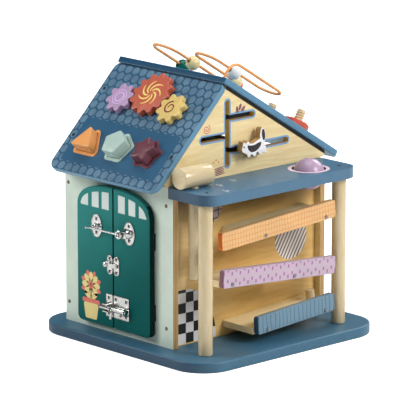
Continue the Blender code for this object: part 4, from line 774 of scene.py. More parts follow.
holes = [rounded(grown(corners, HOLE_CLEARANCE), corner, steps=4) + (x, BLOCK_UP)
         for x, corners, corner in BLOCKS.values()]
roof_board("front_roof", roof_look, FRONT_SLOPE_LENGTH, FRONT_CORNERS, holes, on_front_roof, FRONT_OUT)
back_look, tree, shader = new_look("back_roof_blue", "blue", mirror=0.12)
coat(shader, blended(tree, facing(tree, -BACK_DOWN, limit=0.9), ink(*ROOF_BLUE), ink(*RIDGE_BLUE)), gloss=0.4)
roof_board("back_roof", back_look, BACK_SLOPE_LENGTH, BACK_CORNERS, [], on_back_roof, BACK_OUT)

# Blackened countersunk screws hold the front board, two at each side
SCREW_RADIUS = 0.0027
SCREW_SINK = 0.0004
ROOF_SCREW_RISE = 0.0012
ROOF_SCREW_X = (-0.1323, 0.0703)
ROOF_SCREW_UP = (0.1392, 0.0573)


def turned(profile, count=48):
    """Surface turned about Z: rings of radius and height, each with count points."""
    return [level(circle(0, 0, radius, count), height) for radius, height in profile]


def arc(x, y, radius, start, end, steps):
    """Points along an arc, both ends included, as an array (point, 2)."""
    angle = np.linspace(start, end, steps)
    return np.column_stack([x + radius * np.cos(angle), y + radius * np.sin(angle)])


def screw(rise, recess, count=48):
    """Countersunk screw head: a low dome, and a cross whose radius is a power of a cosine of four waves."""
    rim = circle(0, 0, SCREW_RADIUS, count)
    wave = np.abs(np.cos(4 * np.pi * np.arange(count) / count + 0.8)) ** 6
    cross = rim * (recess * (0.42 + 0.58 * wave))[:, None]
    dome_shares = ((1.0, 0.0), (1.0, 0.35), (0.92, 0.75), (0.75, 1.0))
    sunk_shares = ((1.0, 1.0), (0.9, 0.35), (0.35, 0.2))
    rings = [level(rim * share, rise * height) for share, height in dome_shares]
    return skin(rings + [level(cross * share, rise * height) for share, height in sunk_shares])


def at(part, x, y, z=0):
    """Part moved to a place."""
    return part[0] + np.array((x, y, z)), part[1]


def steel(name, slot, rgb, rough, scale=300):
    """Bright metal with fine brushed streaks and a few dull spots."""
    look, tree, shader = new_look(name, slot)
    cloud = noise(here(tree), Scale=scale, Detail=3)
    colour = blended(tree, cloud, ink(*rgb), ink(*(v * 0.82 for v in rgb)))
    shader.inputs["Metallic"].default_value = 1.0
    rise = ranged(cloud, 0, 1, rough - 0.06, rough + 0.08)
    brushed = bump(cloud, strength=0.08, distance=0.0002)
    feed(shader, {"Base Color": colour, "Roughness": rise, "Normal": brushed})
    return look


dark_steel = steel("blackened_screw_steel", "hinge_steel", (58, 60, 66), rough=0.4)
head = screw(ROOF_SCREW_RISE, recess=0.6)
parts = [at(head, x, up, -SCREW_SINK) for x in ROOF_SCREW_X for up in ROOF_SCREW_UP]
made("roof_screws", parts, dark_steel, "house", place=on_front_roof)


# Shape holes and blocks
# Solid beech blocks with eased edges stand in the roof's three holes. A thin wooden rim is glued round
# each hole, and is painted like its block.
RIM_HEIGHT = 0.0011
RIM_WIDTH = 0.0052
RIM_EASE = 0.0004
TRIANGLE_RIM_CORNER = 0.0065
PENTAGON_RIM_CORNER = 0.0060
STAR_RIM_REACH, STAR_RIM_NOTCH = 0.0277, 0.0186
STAR_RIM_CORNERS = (0.0055, 0.006)
BLOCK_PROUD = 0.0165
BLOCK_THICKNESS = 0.028
BLOCK_EASE = 0.0014
BLOCK_PAINTS = {
    "triangle": ("triangle_orange", (214, 148, 86)),
    "pentagon": ("pentagon_mint", (168, 192, 184)),
    "star": ("star_plum", (100, 56, 66)),
}


def band(inner, outer, low, high, ease=0.0):
    """Flat frame between two outlines with equal counts of points, its upper edges chamfered."""
    rings = [level(inner, low), level(outer, low), level(outer, high - ease)]
    if ease:
        rings += [level(outer - outward(outer) * ease, high), level(inner + outward(inner) * ease, high)]
    return skin(rings + [level(inner, high - ease)], closed=True)


block_looks = {}
for name, (x, corners, corner) in BLOCKS.items():
    slot, rgb = BLOCK_PAINTS[name]
    inner = rounded(grown(corners, HOLE_CLEARANCE), corner, steps=8)
    if name == "star":
        outer = rounded(star_corners(STAR_RIM_REACH, STAR_RIM_NOTCH), STAR_RIM_CORNERS * 5, steps=8)
    else:
        rim_corner = TRIANGLE_RIM_CORNER if name == "triangle" else PENTAGON_RIM_CORNER
        outer = rounded(grown(corners, RIM_WIDTH), rim_corner, steps=8)
    rim = band(inner + (x, BLOCK_UP), outer + (x, BLOCK_UP), 0.0, RIM_HEIGHT, RIM_EASE)
    look = block_looks[name] = painted(name + "_paint", slot, rgb, gloss=0.28, peel=0.06, mirror=0.45)
    made(name + "_hole_rim", [rim], look, "house", place=on_front_roof)
for name, (x, corners, corner) in BLOCKS.items():
    outline = rounded(corners, corner, steps=8) + (x, BLOCK_UP)
    block = plank(outline, BLOCK_PROUD - BLOCK_THICKNESS, BLOCK_PROUD, BLOCK_EASE)
    look = block_looks[name]
    made("block_" + name + "_painted", [block], look, name + "_block", "block_" + name, place=on_front_roof)


# Gears
# Three painted wooden gears with round teeth turn together on hidden wooden pins. Each carries its own
# print: bent arms, rings or a spiral.
GEAR_MODULE = 0.00544
LARGE_TEETH, SMALL_TEETH = 12, 8
TOOTH_HALF_DEPTH = 0.0027
TOOTH_CLEARANCE = 0.0005
TOOTH_FLATNESS = 0.8
GULLET_SHARE = 1.4
GEAR_LIFT = 0.0006
GEAR_TOP = 0.0100
GEAR_EASE = 0.0011
GEAR_BORE = 0.0043
BORE_TOP = 0.0063
LARGE_GEAR = np.array((-0.030, 0.142))
SMALL_ACROSS = 0.052
SMALL_DOWN = np.sqrt((GEAR_MODULE * (LARGE_TEETH + SMALL_TEETH) / 2) ** 2 - SMALL_ACROSS ** 2)
PRINT_THICKNESS = 0.00012
PRINT_TOP = GEAR_TOP + PRINT_THICKNESS
ARMS = 7
ARM_REACH = 0.0205
ARM_HALF_WIDTH = 0.0014
RINGS = ((0.0074, 0.0009), (0.0118, 0.0006))
SPIRAL_START, SPIRAL_GROWTH = 0.0032, 0.0072
SPIRAL_HALF_WIDTH, SPIRAL_WIDENING = 0.0008, 0.0005


def gear(teeth, phase, centre):
    """Gear with a blind bore: the outline's radius is a flattened cosine wave about the pitch circle."""
    angle = 2 * np.pi * np.arange(teeth * 14) / (teeth * 14)
    wave = np.cos(teeth * angle)
    wave = wave / np.sqrt(wave ** 2 + TOOTH_FLATNESS * (1 - wave ** 2))
    wave = np.where(wave < 0, GULLET_SHARE, 1) * wave
    radius = GEAR_MODULE * teeth / 2 - TOOTH_CLEARANCE + TOOTH_HALF_DEPTH * wave
    outline = radius[:, None] * circle(0, 0, 1, len(angle), phase) + centre
    bore = circle(*centre, GEAR_BORE, len(angle), phase)
    rings = [level(bore, BORE_TOP), level(bore, GEAR_LIFT)]
    return skin(rings + eased(outline, GEAR_LIFT, GEAR_TOP, GEAR_EASE))


def ribbon(path, width, low, high):
    """Flat strip along a path of points, its half width given at each point."""
    ahead = np.gradient(path, axis=0)
    ahead = ahead / np.linalg.norm(ahead, axis=1)[:, None]
    side = np.column_stack([-ahead[:, 1], ahead[:, 0]]) * width[:, None]
    return plank(np.concatenate([path - side, (path + side)[::-1]]), low, high)


def swirl(radius, start, sweep, inner=0.15, steps=24):
    """Path that winds out from the middle: its angle runs on as its radius grows."""
    share = np.linspace(inner, 1, steps)
    angle = start + sweep * share
    return radius * share[:, None] * np.column_stack([np.cos(angle), np.sin(angle)])


gears = {"coral": (LARGE_TEETH, 0.0, LARGE_GEAR, (178, 90, 71))}
for name, side, rgb in (("lavender", -1, (169, 143, 177)), ("yellow", 1, (208, 182, 112))):
    way = np.arctan2(-SMALL_DOWN, side * SMALL_ACROSS)
    phase = (LARGE_TEETH * way + SMALL_TEETH * (way + np.pi) + np.pi) / SMALL_TEETH
    gears[name] = (SMALL_TEETH, phase, LARGE_GEAR + (side * SMALL_ACROSS, -SMALL_DOWN), rgb)
for name, (teeth, phase, centre, rgb) in gears.items():
    look = painted("gear_" + name + "_paint", "gear_" + name, rgb, gloss=0.26, peel=0.06, mirror=0.5)
    part = gear(teeth, phase, centre)
    made("gear_" + name + "_painted", [part], look, name + "_gear", "gear_" + name, place=on_front_roof)
swell = ARM_HALF_WIDTH * np.sin(np.linspace(0.12, 0.94, 24) * np.pi) ** 0.8
arms = [swirl(ARM_REACH, 2 * np.pi * i / ARMS, sweep=-1.9, inner=0.18) + LARGE_GEAR for i in range(ARMS)]
look = painted("swirl_yellow", "gear_yellow", (226, 202, 116), gloss=0.35)
arms = [ribbon(path, swell, GEAR_TOP, PRINT_TOP) for path in arms]
made("gear_coral_swirl_print", arms, look, "coral_gear", place=on_front_roof)
centre = gears["lavender"][2]
rings = [band(circle(*centre, r - w, 64), circle(*centre, r + w, 64), GEAR_TOP, PRINT_TOP) for r, w in RINGS]
look = painted("ring_lilac", "gear_lavender", (200, 170, 214), gloss=0.35)
made("gear_lavender_ring_print", rings, look, "lavender_gear", place=on_front_roof)
share = np.linspace(0, 1, 60)
angle = np.radians(200) - share * np.radians(470)
path = (SPIRAL_START + SPIRAL_GROWTH * share)[:, None] * np.column_stack([np.cos(angle), np.sin(angle)])
width = SPIRAL_HALF_WIDTH + SPIRAL_WIDENING * share
spiral = ribbon(gears["yellow"][2] + path, width, GEAR_TOP, PRINT_TOP)
look = painted("spiral_red", "star_plum", (112, 38, 48), gloss=0.35)
made("gear_yellow_spiral_print", [spiral], look, "yellow_gear", place=on_front_roof)
pin_look = wooden("gear_pin_wood", "turned_wood", contrast=0.5)[0]
dressed(pin_look, "gear_coral_pin", "gear_lavender_pin", "gear_yellow_pin")


# Maze slots
# A painted light-blue line runs round the slots that are cut through the porch gable: an upright slot
# with two branches to the back and one to the front.
SLOT_HALF = 0.004
SLOT_LINE = 0.0024
SLOT_X = -0.0344
SLOT_LOW, SLOT_HIGH = 0.2525, 0.346
BACK_BRANCHES = ((0.275, 0.0814), (0.3205, 0.0166))
FRONT_BRANCH_Z, FRONT_BRANCH_END = 0.296, -0.0846


def maze_outline(steps=10):
    """Outline of the slots: round ends of half a slot's width, joined by straight sides."""
    left, right = SLOT_X - SLOT_HALF, SLOT_X + SLOT_HALF
    quarter = np.pi / 2
    rows = [arc(SLOT_X, SLOT_LOW + SLOT_HALF, SLOT_HALF, -2 * quarter, 0, steps)]
    for height, end in BACK_BRANCHES:
        tip = arc(end - SLOT_HALF, height, SLOT_HALF, -quarter, quarter, steps)
        rows += [[(right, height - SLOT_HALF)], tip, [(right, height + SLOT_HALF)]]
    rows.append(arc(SLOT_X, SLOT_HIGH - SLOT_HALF, SLOT_HALF, 0, 2 * quarter, steps))
    tip = arc(FRONT_BRANCH_END + SLOT_HALF, FRONT_BRANCH_Z, SLOT_HALF, quarter, 3 * quarter, steps)
    rows += [[(left, FRONT_BRANCH_Z + SLOT_HALF)], tip, [(left, FRONT_BRANCH_Z - SLOT_HALF)]]
    return np.concatenate([np.asarray(row, float) for row in rows])


def on_wall(part, lift=0.0):
    """Part drawn in Y and Z, set on the porch gable's face."""
    return laid(part, (WALL_X + lift, 0, 0), (0, 1, 0), (0, 0, 1))


slot = maze_outline()
line = band(slot, slot + outward(slot) * SLOT_LINE, 0, PRINT_THICKNESS)
look = painted("slot_blue", "sky", (118, 158, 196), gloss=0.4)
made("maze_slot_line_print", [line], look, "house", place=on_wall)


# Porch shelf
# A painted board on two posts, with a pale pink line round the ball's hole. A ring of black rubber
# in the hole grips the ball.
SHELF_TOP = 0.240
SHELF_BLUE = (64, 104, 132)
# Darker blue of the shelf's front-facing sides: painted shade
SHELF_BLUE_SHADED_SIDE = (36, 72, 98)
SHELF_SCREW_RISE = 0.0009
SHELF_SCREWS = ((0.1316, -0.1262), (0.1316, 0.1250))
BALL_PLACE = (0.116, 0.0808)
BALL_RADIUS = 0.0225
HOLE_LINE_INNER, HOLE_LINE_OUTER = 0.0242, 0.0293
GRIP_Z = SHELF_TOP - 0.0075
GRIP_INNER, GRIP_OUTER, GRIP_HALF = 0.0228, 0.0262, 0.0013
GRIP_BLACK = (22, 22, 24)


def on_shelf(part):
    """Part drawn in X and Y, set on the shelf's top."""
    return laid(part, (0, 0, SHELF_TOP), (1, 0, 0), (0, 1, 0))


shelf_look, tree, shader = new_look("shelf_blue", "blue", mirror=0.5)
# Painted shade: sides turned to the front get the darker blue
side = turned_to(tree, (0, -1, 0))
coat(shader, blended(tree, side, ink(*SHELF_BLUE), ink(*SHELF_BLUE_SHADED_SIDE)), gloss=0.36, peel=0.03)
dressed(shelf_look, "porch_shelf")
inner, outer = (circle(*BALL_PLACE, radius, 96) for radius in (HOLE_LINE_INNER, HOLE_LINE_OUTER))
ring = band(inner, outer, 0, PRINT_THICKNESS)
look = painted("line_pink", "lilac", (222, 196, 208))
made("ball_hole_line_print", [ring], look, "house", place=on_shelf)
parts = [at(screw(SHELF_SCREW_RISE, recess=0.6), x, y, -SCREW_SINK) for x, y in SHELF_SCREWS]
made("shelf_screws", parts, dark_steel, "house", place=on_shelf)
rubber, tree, shader = new_look("grip_rubber", "grip_rubber")
coat(shader, ink(*GRIP_BLACK), gloss=0.6, peel=0.3)
section = arc(GRIP_INNER + GRIP_HALF, 0, GRIP_HALF, np.pi / 2, 3 * np.pi / 2, steps=8).tolist()
section += [(GRIP_OUTER, -GRIP_HALF), (GRIP_OUTER, GRIP_HALF)]
grip = at(skin(turned(section, count=64), closed=True), *BALL_PLACE, GRIP_Z)
made("ball_grip_ring_rubber", [grip], rubber, "house", "ball_grip_ring")


# Posts
# Turned beech posts with softened ends stand between the base and the shelf, under its outer corners.
# The shelf's screws go down into them.
POST_RADIUS = 0.010
POST_LOW = 0.0153
POST_HIGH = 0.2247
POST_X = 0.1318
POST_EASE = 0.001
POST_YS = {"post_front": -0.1285, "post_back": 0.1245}
PALE_BEECH = (206, 190, 154)
DARK_BEECH = (180, 150, 102)
UPRIGHT = (0, np.pi / 2, 0)
SIDEWAYS = (0, 0, np.pi / 2)


def rod(radius, low, high, ease, count=48, steps=4):
    """Round bar about Z with rounded ends."""
    turn = np.linspace(0, np.pi / 2, steps)
    profile = [(radius - ease * (1 - np.sin(a)), low + ease * (1 - np.cos(a))) for a in turn]
    profile += [(radius - ease * (1 - np.cos(a)), high - ease * (1 - np.sin(a))) for a in turn]
    return skin(turned(profile, count))


post_look = wooden("post_beech", "turned_wood", UPRIGHT, PALE_BEECH, DARK_BEECH, contrast=0.5, lacquer=1.0)[0]
for name, y in POST_YS.items():
    post = at(rod(POST_RADIUS, POST_LOW, POST_HIGH, POST_EASE), POST_X, y)
    made(name + "_turned", [post], post_look, "house", name)


# Ramps
# Sloping plywood floors along the porch wall, with painted fences along their outer edges. Each fence
# has its own printed pattern and is held by two bright screws. A beech peg stops the ball at the bottom.
FENCE_X = 0.1430
FENCE_SCREW_UP = 0.0045
FENCE_SCREW_RISE = 0.0016
# Height at Y zero, slope, and the Y of both screws
RAMPS = {
    "top": (0.1643, 0.0649, (-0.0266, 0.0885)),
    "middle": (0.098, -0.0689, (-0.0885, 0.0277)),
    "bottom": (0.0308, 0.0657, (-0.0225, 0.0889)),
}
GRID_PITCH_ALONG, GRID_PITCH_UP = 0.0052, 0.0072
DASH_PITCH, DASH_RISE = 0.0076, 0.0146
STRIPE_PITCH = 0.0076
floor_look = wooden("ramp_ply", "plywood", SIDEWAYS, (240, 224, 180), (222, 192, 136))[0]
dressed(floor_look, "top_ramp_floor", "middle_ramp_floor", "bottom_ramp_floor")
peg_look = wooden("peg_beech", "turned_wood", UPRIGHT, PALE_BEECH, DARK_BEECH, contrast=0.6)[0]
dressed(peg_look, "bottom_ramp_peg")


def fence_look(name, slot, ramp):
    """Empty finish of a fence, with the distances along its slope and up across it."""
    look, tree, shader = new_look(name, slot)
    height, slope = RAMPS[ramp][:2]
    lean = np.arctan(slope)
    along, across = (0, np.cos(lean), np.sin(lean)), (0, -np.sin(lean), np.cos(lean))
    return look, tree, shader, *across_plane(tree, (0, 0, height), along, across)


def wobbled(tree, value, amount, scale):
    """Value pushed about a little by slow noise, as a hand-drawn line is."""
    return value + (noise(here(tree), Scale=scale, Detail=1) - 0.5) * amount


def fence_coat(tree, shader, share, ground, mark, top, end):
    """Paint of a fence: marks on its outer side, plain on top, and darker where it faces the doors."""
    pattern = blended(tree, share, ink(*ground), ink(*mark))
    plain = blended(tree, facing(tree, (0, -1, 0), limit=0.5), ink(*top), ink(*end))
    coat(shader, blended(tree, facing(tree, (1, 0, 0), limit=0.8), plain, pattern), gloss=0.4)


look, tree, shader, along, up = fence_look("orange_grid_fence", "orange", "top")
along, up = wobbled(tree, along, amount=0.004, scale=60), wobbled(tree, up, amount=0.003, scale=40)
posts = stripe(along, GRID_PITCH_ALONG, width=0.0011, soft=0.0004)
lines = stripe(up, GRID_PITCH_UP, width=0.0010, soft=0.0004, shift=0.002)
grid = posts.math("MAXIMUM", lines) * 0.75
fence_coat(tree, shader, grid, ground=(213, 175, 124), mark=(206, 122, 58),
           top=(214, 170, 118), end=(214, 116, 42))
dressed(look, "top_ramp_fence")

look, tree, shader, along, up = fence_look("lilac_dash_fence", "lilac", "middle")
column = (along / DASH_PITCH + 0.5).math("FLOOR")
shift = column.math("FLOORED_MODULO", 2.0) * 0.0045
posts = stripe(along, DASH_PITCH, width=0.0027, soft=0.0004)
dashes = posts * stripe(up - shift, DASH_RISE, width=0.0048, soft=0.0005, shift=-0.0052)
fence_coat(tree, shader, dashes, ground=(182, 164, 180), mark=(156, 96, 150),
           top=(180, 160, 178), end=(142, 104, 124))
dressed(look, "middle_ramp_fence")

look, tree, shader, along, up = fence_look("sky_stripe_fence", "sky", "bottom")
lines = stripe(wobbled(tree, along, amount=0.007, scale=45), STRIPE_PITCH, width=0.0015, soft=0.0005)
fence_coat(tree, shader, lines * 0.8, ground=(108, 138, 156), mark=(58, 98, 130),
           top=(112, 138, 154), end=(34, 66, 92))
dressed(look, "bottom_ramp_fence")

bright_steel = steel("bright_screw_steel", "chrome", (160, 162, 166), rough=0.22)
parts = [at(screw(FENCE_SCREW_RISE, recess=0.5), y, height + slope * y + FENCE_SCREW_UP)
         for height, slope, screws in RAMPS.values() for y in screws]
made("fence_screws", parts, bright_steel, "house", place=lambda part: on_wall(part, FENCE_X - WALL_X))


# Ball
# Turned wooden ball with a glossy lilac paint. The grip ring holds it until it is pushed through, on to
# the top ramp.
turn = np.linspace(-np.pi / 2 + 0.03, np.pi / 2 - 0.03, 40)
sphere = skin(turned([(BALL_RADIUS * np.cos(a), BALL_RADIUS * np.sin(a)) for a in turn], count=80))
ball_look = painted("ball_lilac", "lavender", (176, 152, 179), gloss=0.2, peel=0.06)
made("ball_painted", [at(sphere, *BALL_PLACE, GRIP_Z)], ball_look, "ball", "ball")


# Mallet
# Beech head with chamfered ends, glued on a round beech handle. The handle stands in a hole of the
# shelf, so that the mallet lifts out.
MALLET = (0.095, -0.1165)
HEAD_RADIUS = 0.015
HEAD_HALF = 0.027
HEAD_Z = SHELF_TOP + HEAD_RADIUS + 0.0003
HANDLE_RADIUS = 0.007
HANDLE_DOWN, HANDLE_UP = 0.128, 0.022
MALLET_EASE = 0.0018
head = rod(HEAD_RADIUS, -HEAD_HALF, HEAD_HALF, MALLET_EASE, count=64, steps=5)
handle = at(rod(HANDLE_RADIUS, SHELF_TOP - HANDLE_DOWN, SHELF_TOP + HANDLE_UP, MALLET_EASE), *MALLET)
mallet_parts = {
    "head": (SIDEWAYS, laid(head, (*MALLET, HEAD_Z), (0, 0, 1), (1, 0, 0))),
    "handle": (UPRIGHT, handle),
}
for name, (turn, part) in mallet_parts.items():
    finish = (turn, PALE_BEECH, DARK_BEECH, 0.5)
    look = wooden("mallet_" + name + "_beech", "turned_wood", *finish, lacquer=1.0)[0]
    made("mallet_" + name + "_turned", [part], look, "mallet", "mallet_" + name)


# Doors
# Two leaves under one flat arch, painted deep teal, with pale window panes printed near the top and a
# potted flower on the left one. Steel hinges carry them, and bronze screws hold the panel round them.
SPLIT_X = -0.0274
DOOR_Y = -0.1542
TEAL = (0, 80, 78)
# Painted sheen: lighter teal towards the top left
TEAL_SHEEN = (46, 124, 120)
# Painted shade on the doors' side edges that face the porch
TEAL_SHADED_EDGE = (0, 38, 34)
# Painted shade in the split between the leaves
TEAL_SPLIT_SHADE = (0, 42, 40)
SPLIT_FROM, SPLIT_TO = 0.0008, 0.0016
# Span of the painted sheen
SHEEN_FROM, SHEEN_TO = 0.03, 0.26
PANE_LOW = 0.1915
PANE_RISE = 0.0248
PANE_HALF = 0.0675
PANE_POWER = 2.3
# Left and right edge of each pane
PANES = {
    "left": ((-0.0949, -0.0795), (-0.0717, -0.0574), (-0.0508, -0.0362)),
    "right": ((-0.0167, -0.0028), (0.0048, 0.0186), (0.0262, 0.0412)),
}
FLOWER_X, FLOWER_Z = -0.0745, 0.0790
FLOWER_MIDDLE = 0.0052
SEED_REACH, SEED_RADIUS = 0.0022, 0.0009
POT_FOOT, POT_RIM, POT_TOP = 0.0305, 0.0530, 0.0592
LEAF_Z = 0.0640
PANEL_Y = -0.144
PANEL_SCREW_RISE = 0.0010
PANEL_SCREW_X = (-0.133, 0.070)
PANEL_SCREW_Z = (0.214, 0.0426)


def on_door(part, lift=0.0):
    """Part drawn in X and Z, set on the doors' face."""
    return laid(part, (0, DOOR_Y - lift, 0), (1, 0, 0), (0, 0, 1))


def pane(left, right):
    """Window pane: a flat foot and a top that follows the doors' arch, drawn in."""
    x = np.linspace(left, right, 16)
    across = np.minimum(np.abs(x - SPLIT_X) / PANE_HALF, 1)
    top = PANE_LOW + PANE_RISE * np.maximum(1 - across ** PANE_POWER, 0.01) ** (1 / PANE_POWER)
    outline = np.concatenate([[(left, PANE_LOW), (right, PANE_LOW)], np.column_stack([x, top])[::-1]])
    return plank(outline, 0, PRINT_THICKNESS)


def leaf(x, y, length, width, angle, pinch=0.0, count=32):
    """Oval or leaf at an angle: its width follows the sine of the turn, pinched by a power at both ends."""
    turn = 2 * np.pi * np.arange(count) / count
    along = length / 2 * np.cos(turn)
    across = width / 2 * np.sin(turn) * np.abs(np.sin(turn)) ** pinch
    cos, sin = np.cos(angle), np.sin(angle)
    return np.column_stack([x + along * cos - across * sin, y + along * sin + across * cos])


def spray(x, y, reach, turns, length, width, pinch=0.0):
    """Leaves that point away from a place, their middles at a reach from it."""
    return [leaf(x + reach * np.cos(a), y + reach * np.sin(a), length, width, a, pinch) for a in turns]


def prints(name, look, outlines, body, place, layer=1):
    """Thin printed areas of one colour, each layer a little above the one before."""
    parts = [plank(outline, 0, layer * PRINT_THICKNESS) for outline in outlines]
    made(name, parts, look, body, place=place)


door_look, tree, shader = new_look("door_teal", "teal", mirror=0.06)
x, z = across_plane(tree, (SPLIT_X, 0, 0), (1, 0, 0), (0, 0, 1))
# Painted shade: a dark line along the split between the leaves
brink = 1.0 - softened(abs(x), SPLIT_FROM, SPLIT_TO)
# Painted sheen: the teal lightens towards the top left
teal = blended(tree, softened(z - x * 0.7, SHEEN_FROM, SHEEN_TO), ink(*TEAL), ink(*TEAL_SHEEN))
teal = blended(tree, brink, teal, ink(*TEAL_SPLIT_SHADE))
# Painted shade: the edges that face the porch get the dark teal
coat(shader, blended(tree, facing(tree, (1, 0, 0), limit=0.6), teal, ink(*TEAL_SHADED_EDGE)), gloss=0.45)
dressed(door_look, "door_left", "door_right")
pane_look = painted("pane_white", "white", (196, 206, 203), gloss=0.4)
for side, spans in PANES.items():
    panes = [pane(*span) for span in spans]
    made("door_" + side + "_panes_print", panes, pane_look, side + "_door", place=on_door)

# Flower in a pot, printed in four layers
turns = np.radians(np.arange(0, 360, 45))
petals = spray(FLOWER_X, FLOWER_Z, reach=0.0105, turns=turns, length=0.0165, width=0.0088)
behind = spray(FLOWER_X, FLOWER_Z, reach=0.0120, turns=turns + np.pi / 8, length=0.0190, width=0.0080)
seed_places = [*circle(FLOWER_X, FLOWER_Z, SEED_REACH, count=4), (FLOWER_X, FLOWER_Z)]
seeds = [circle(*place, SEED_RADIUS, count=12) for place in seed_places]
pot = rounded([(-0.0860, POT_FOOT), (-0.0630, POT_FOOT), (-0.0585, POT_RIM), (-0.0905, POT_RIM)], 0.003)
rim = rounded(box_corners(-0.0925, -0.0565, POT_RIM, POT_TOP), 0.002)
stem = box_corners(-0.0755, -0.0735, 0.0590, FLOWER_Z)
leaves = [leaf(x, LEAF_Z, length=0.0150, width=0.0060, angle=angle, pinch=0.5)
          for x, angle in ((-0.0825, 2.5), (-0.0665, 0.64))]
yellow_print = painted("print_yellow", "cream", (216, 198, 132))
coral_print = painted("print_coral", "coral", (204, 108, 92))
ink_print = painted("print_ink", "grip_rubber", (30, 34, 38))
middle = circle(FLOWER_X, FLOWER_Z, FLOWER_MIDDLE, count=40)
prints("flower_back_print", coral_print, behind + [rim], "left_door", on_door)
prints("flower_petals_print", yellow_print, petals + [pot, stem] + leaves, "left_door", on_door, layer=2)
prints("flower_middle_print", coral_print, [middle], "left_door", on_door, layer=3)
prints("flower_seeds_print", ink_print, seeds, "left_door", on_door, layer=4)

# Hinges, and the panel's screws
look = steel("hinge_steel", "hinge_steel", (150, 150, 154), rough=0.35)
dressed(look, "hinge_left_lower", "hinge_left_upper")
# The right hinges take the same painted shade, so that they vanish in the dark edge
look = painted("hinge_shaded_teal", "hinge_steel", TEAL_SHADED_EDGE, gloss=0.5)
dressed(look, "hinge_right_lower", "hinge_right_upper")
bronze = steel("bronze_screw_steel", "hinge_steel", (120, 96, 80), rough=0.35)
head = screw(PANEL_SCREW_RISE, recess=0.6)
parts = [at(head, x, z, -SCREW_SINK) for x in PANEL_SCREW_X for z in PANEL_SCREW_Z]
made("panel_screws", parts, bronze, "house", place=lambda part: on_door(part, DOOR_Y - PANEL_Y))


# Latches
# Nickel-plated pressings screwed to both leaves: a hook with its eye, a turn bar and a barrel bolt.
# The eye, the bar's rest and the bolt's keeper are open at the front, so the leaves can swing.
FOOT = 0.0003
PLATE_TOP = 0.0017
PLATE_RIM = 0.0012
FIELD_SINK = 0.0005
PLATE_BEVEL = 0.0004
DOME_LOW = 0.0012
OVAL_HALVES = (0.011, 0.0165)
OVAL_Z = 0.166
OVAL_X = 0.0070
HOOK_Z = 0.1635
HOOK_OUT = 0.0085
EYE_X = -0.0608
EYE_RADIUS = 0.004
EYE_WIRE = 0.001
RING_X = -0.0070
RING_RADIUS = 0.0048
RING_HALVES = (0.0018, 0.0015)
TONGUE = box_corners(-0.0115, 0.0070, 0.1590, 0.1680)
TONGUE_CORNERS = (0.0044, 0.0002, 0.0002, 0.0044)
TONGUE_LOW, TONGUE_HIGH = 0.0042, 0.0066
HOOK_THICK, HOOK_TAPER = 0.0015, 0.0002
SHANK_END = -0.064
BEAK_START, BEAK_LENGTH, BEAK_DROOP = -0.0655, 0.0090, 0.0014
BAR_Z = 0.1153
BAR_LEFT_X, BAR_RIGHT_X = -0.0334, -0.0197
BAR_PLATE_WIDTH, BAR_PLATE_HEIGHT = 0.011, 0.0275
BAR = box_corners(-0.0431, -0.0167, 0.1123, 0.1183)
BAR_CORNER = 0.0029
BAR_LOW, BAR_HIGH = 0.0020, 0.0038
BAR_KNOB_X = -0.0401
REST_HALF = 0.0035
REST_LOW, REST_HIGH, REST_OUT = 0.1186, 0.1211, 0.0056
BOLT_Z = 0.0550
BOLT_OUT = 0.0060
BOLT_RADIUS = 0.0040
BOLT_LEFT, BOLT_RIGHT = -0.0470, 0.0062
KEEPER_LEFT, KEEPER_RIGHT = -0.0412, -0.0280
GUIDE_LEFT, GUIDE_RIGHT = -0.0255, 0.0056
BOLT_PLATE_DOWN, BOLT_PLATE_UP, BOLT_PLATE_CORNER = 0.01385, 0.01865, 0.0013
LOOP_INNER, LOOP_OUTER = 0.0043, 0.0057
CHEEK_LEFT, CHEEK_LENGTH, CHEEK_OUT = -0.0394, 0.0096, 0.0100
LOOPS_LEFT, LOOP_LENGTH = (-0.0255, 0.0040), 0.0016
LEVER_X, LEVER_OUT = -0.0213, 0.0105
LEVER_RADIUS, LEVER_BEND = 0.0015, 0.00225
KNOB_Z, KNOB_RADIUS = 0.0430, 0.0022
LATCH_SCREW_RADIUS, LATCH_SCREW_TOP = 0.0029, 0.00185
CROSS_UNIT, CROSS_TOP = 0.00080, 0.00192
CROSS_TURN = ((0.8, 0.6), (-0.6, 0.8))
# X and height of the latches' screws
LATCH_SCREWS = {
    "left": ((EYE_X, 0.1762), (EYE_X, 0.1563), (BAR_LEFT_X, 0.1247), (BAR_LEFT_X, 0.1060),
             (-0.0354, 0.0682), (-0.0354, 0.0465)),
    "right": ((OVAL_X, 0.1767), (OVAL_X, 0.1560), (BAR_RIGHT_X, 0.1247), (BAR_RIGHT_X, 0.1060),
              (-0.0210, 0.0682), (0.0005, 0.0682), (0.0005, 0.0465)),
}


def tube(route, radius, sides=16):
    """Round bar along a route: each ring stands square to the route, turned least from the one before."""
    ahead = np.gradient(np.asarray(route, float), axis=0)
    ahead = ahead / np.linalg.norm(ahead, axis=1)[:, None]
    side = np.cross(ahead[0], (0.3, 0.5, 0.8))
    rings = []
    for point, way, reach in zip(route, ahead, np.broadcast_to(radius, len(route))):
        side = side - way * (side @ way)
        side = side / np.linalg.norm(side)
        other = np.cross(way, side)
        ring = circle(0, 0, reach, sides)
        rings.append(point + ring[:, :1] * side + ring[:, 1:] * other)
    return skin(rings)


def dome(x, y, radius, high, low=DOME_LOW, foot=FOOT):
    """Round boss: a quarter oval turned about its own axis."""
    turn = np.linspace(0, np.pi / 2 - 0.05, 12)
    profile = [(radius, foot)] + [(radius * np.cos(a), low + (high - low) * np.sin(a)) for a in turn]
    return at(skin(turned(profile, count=40)), x, y)


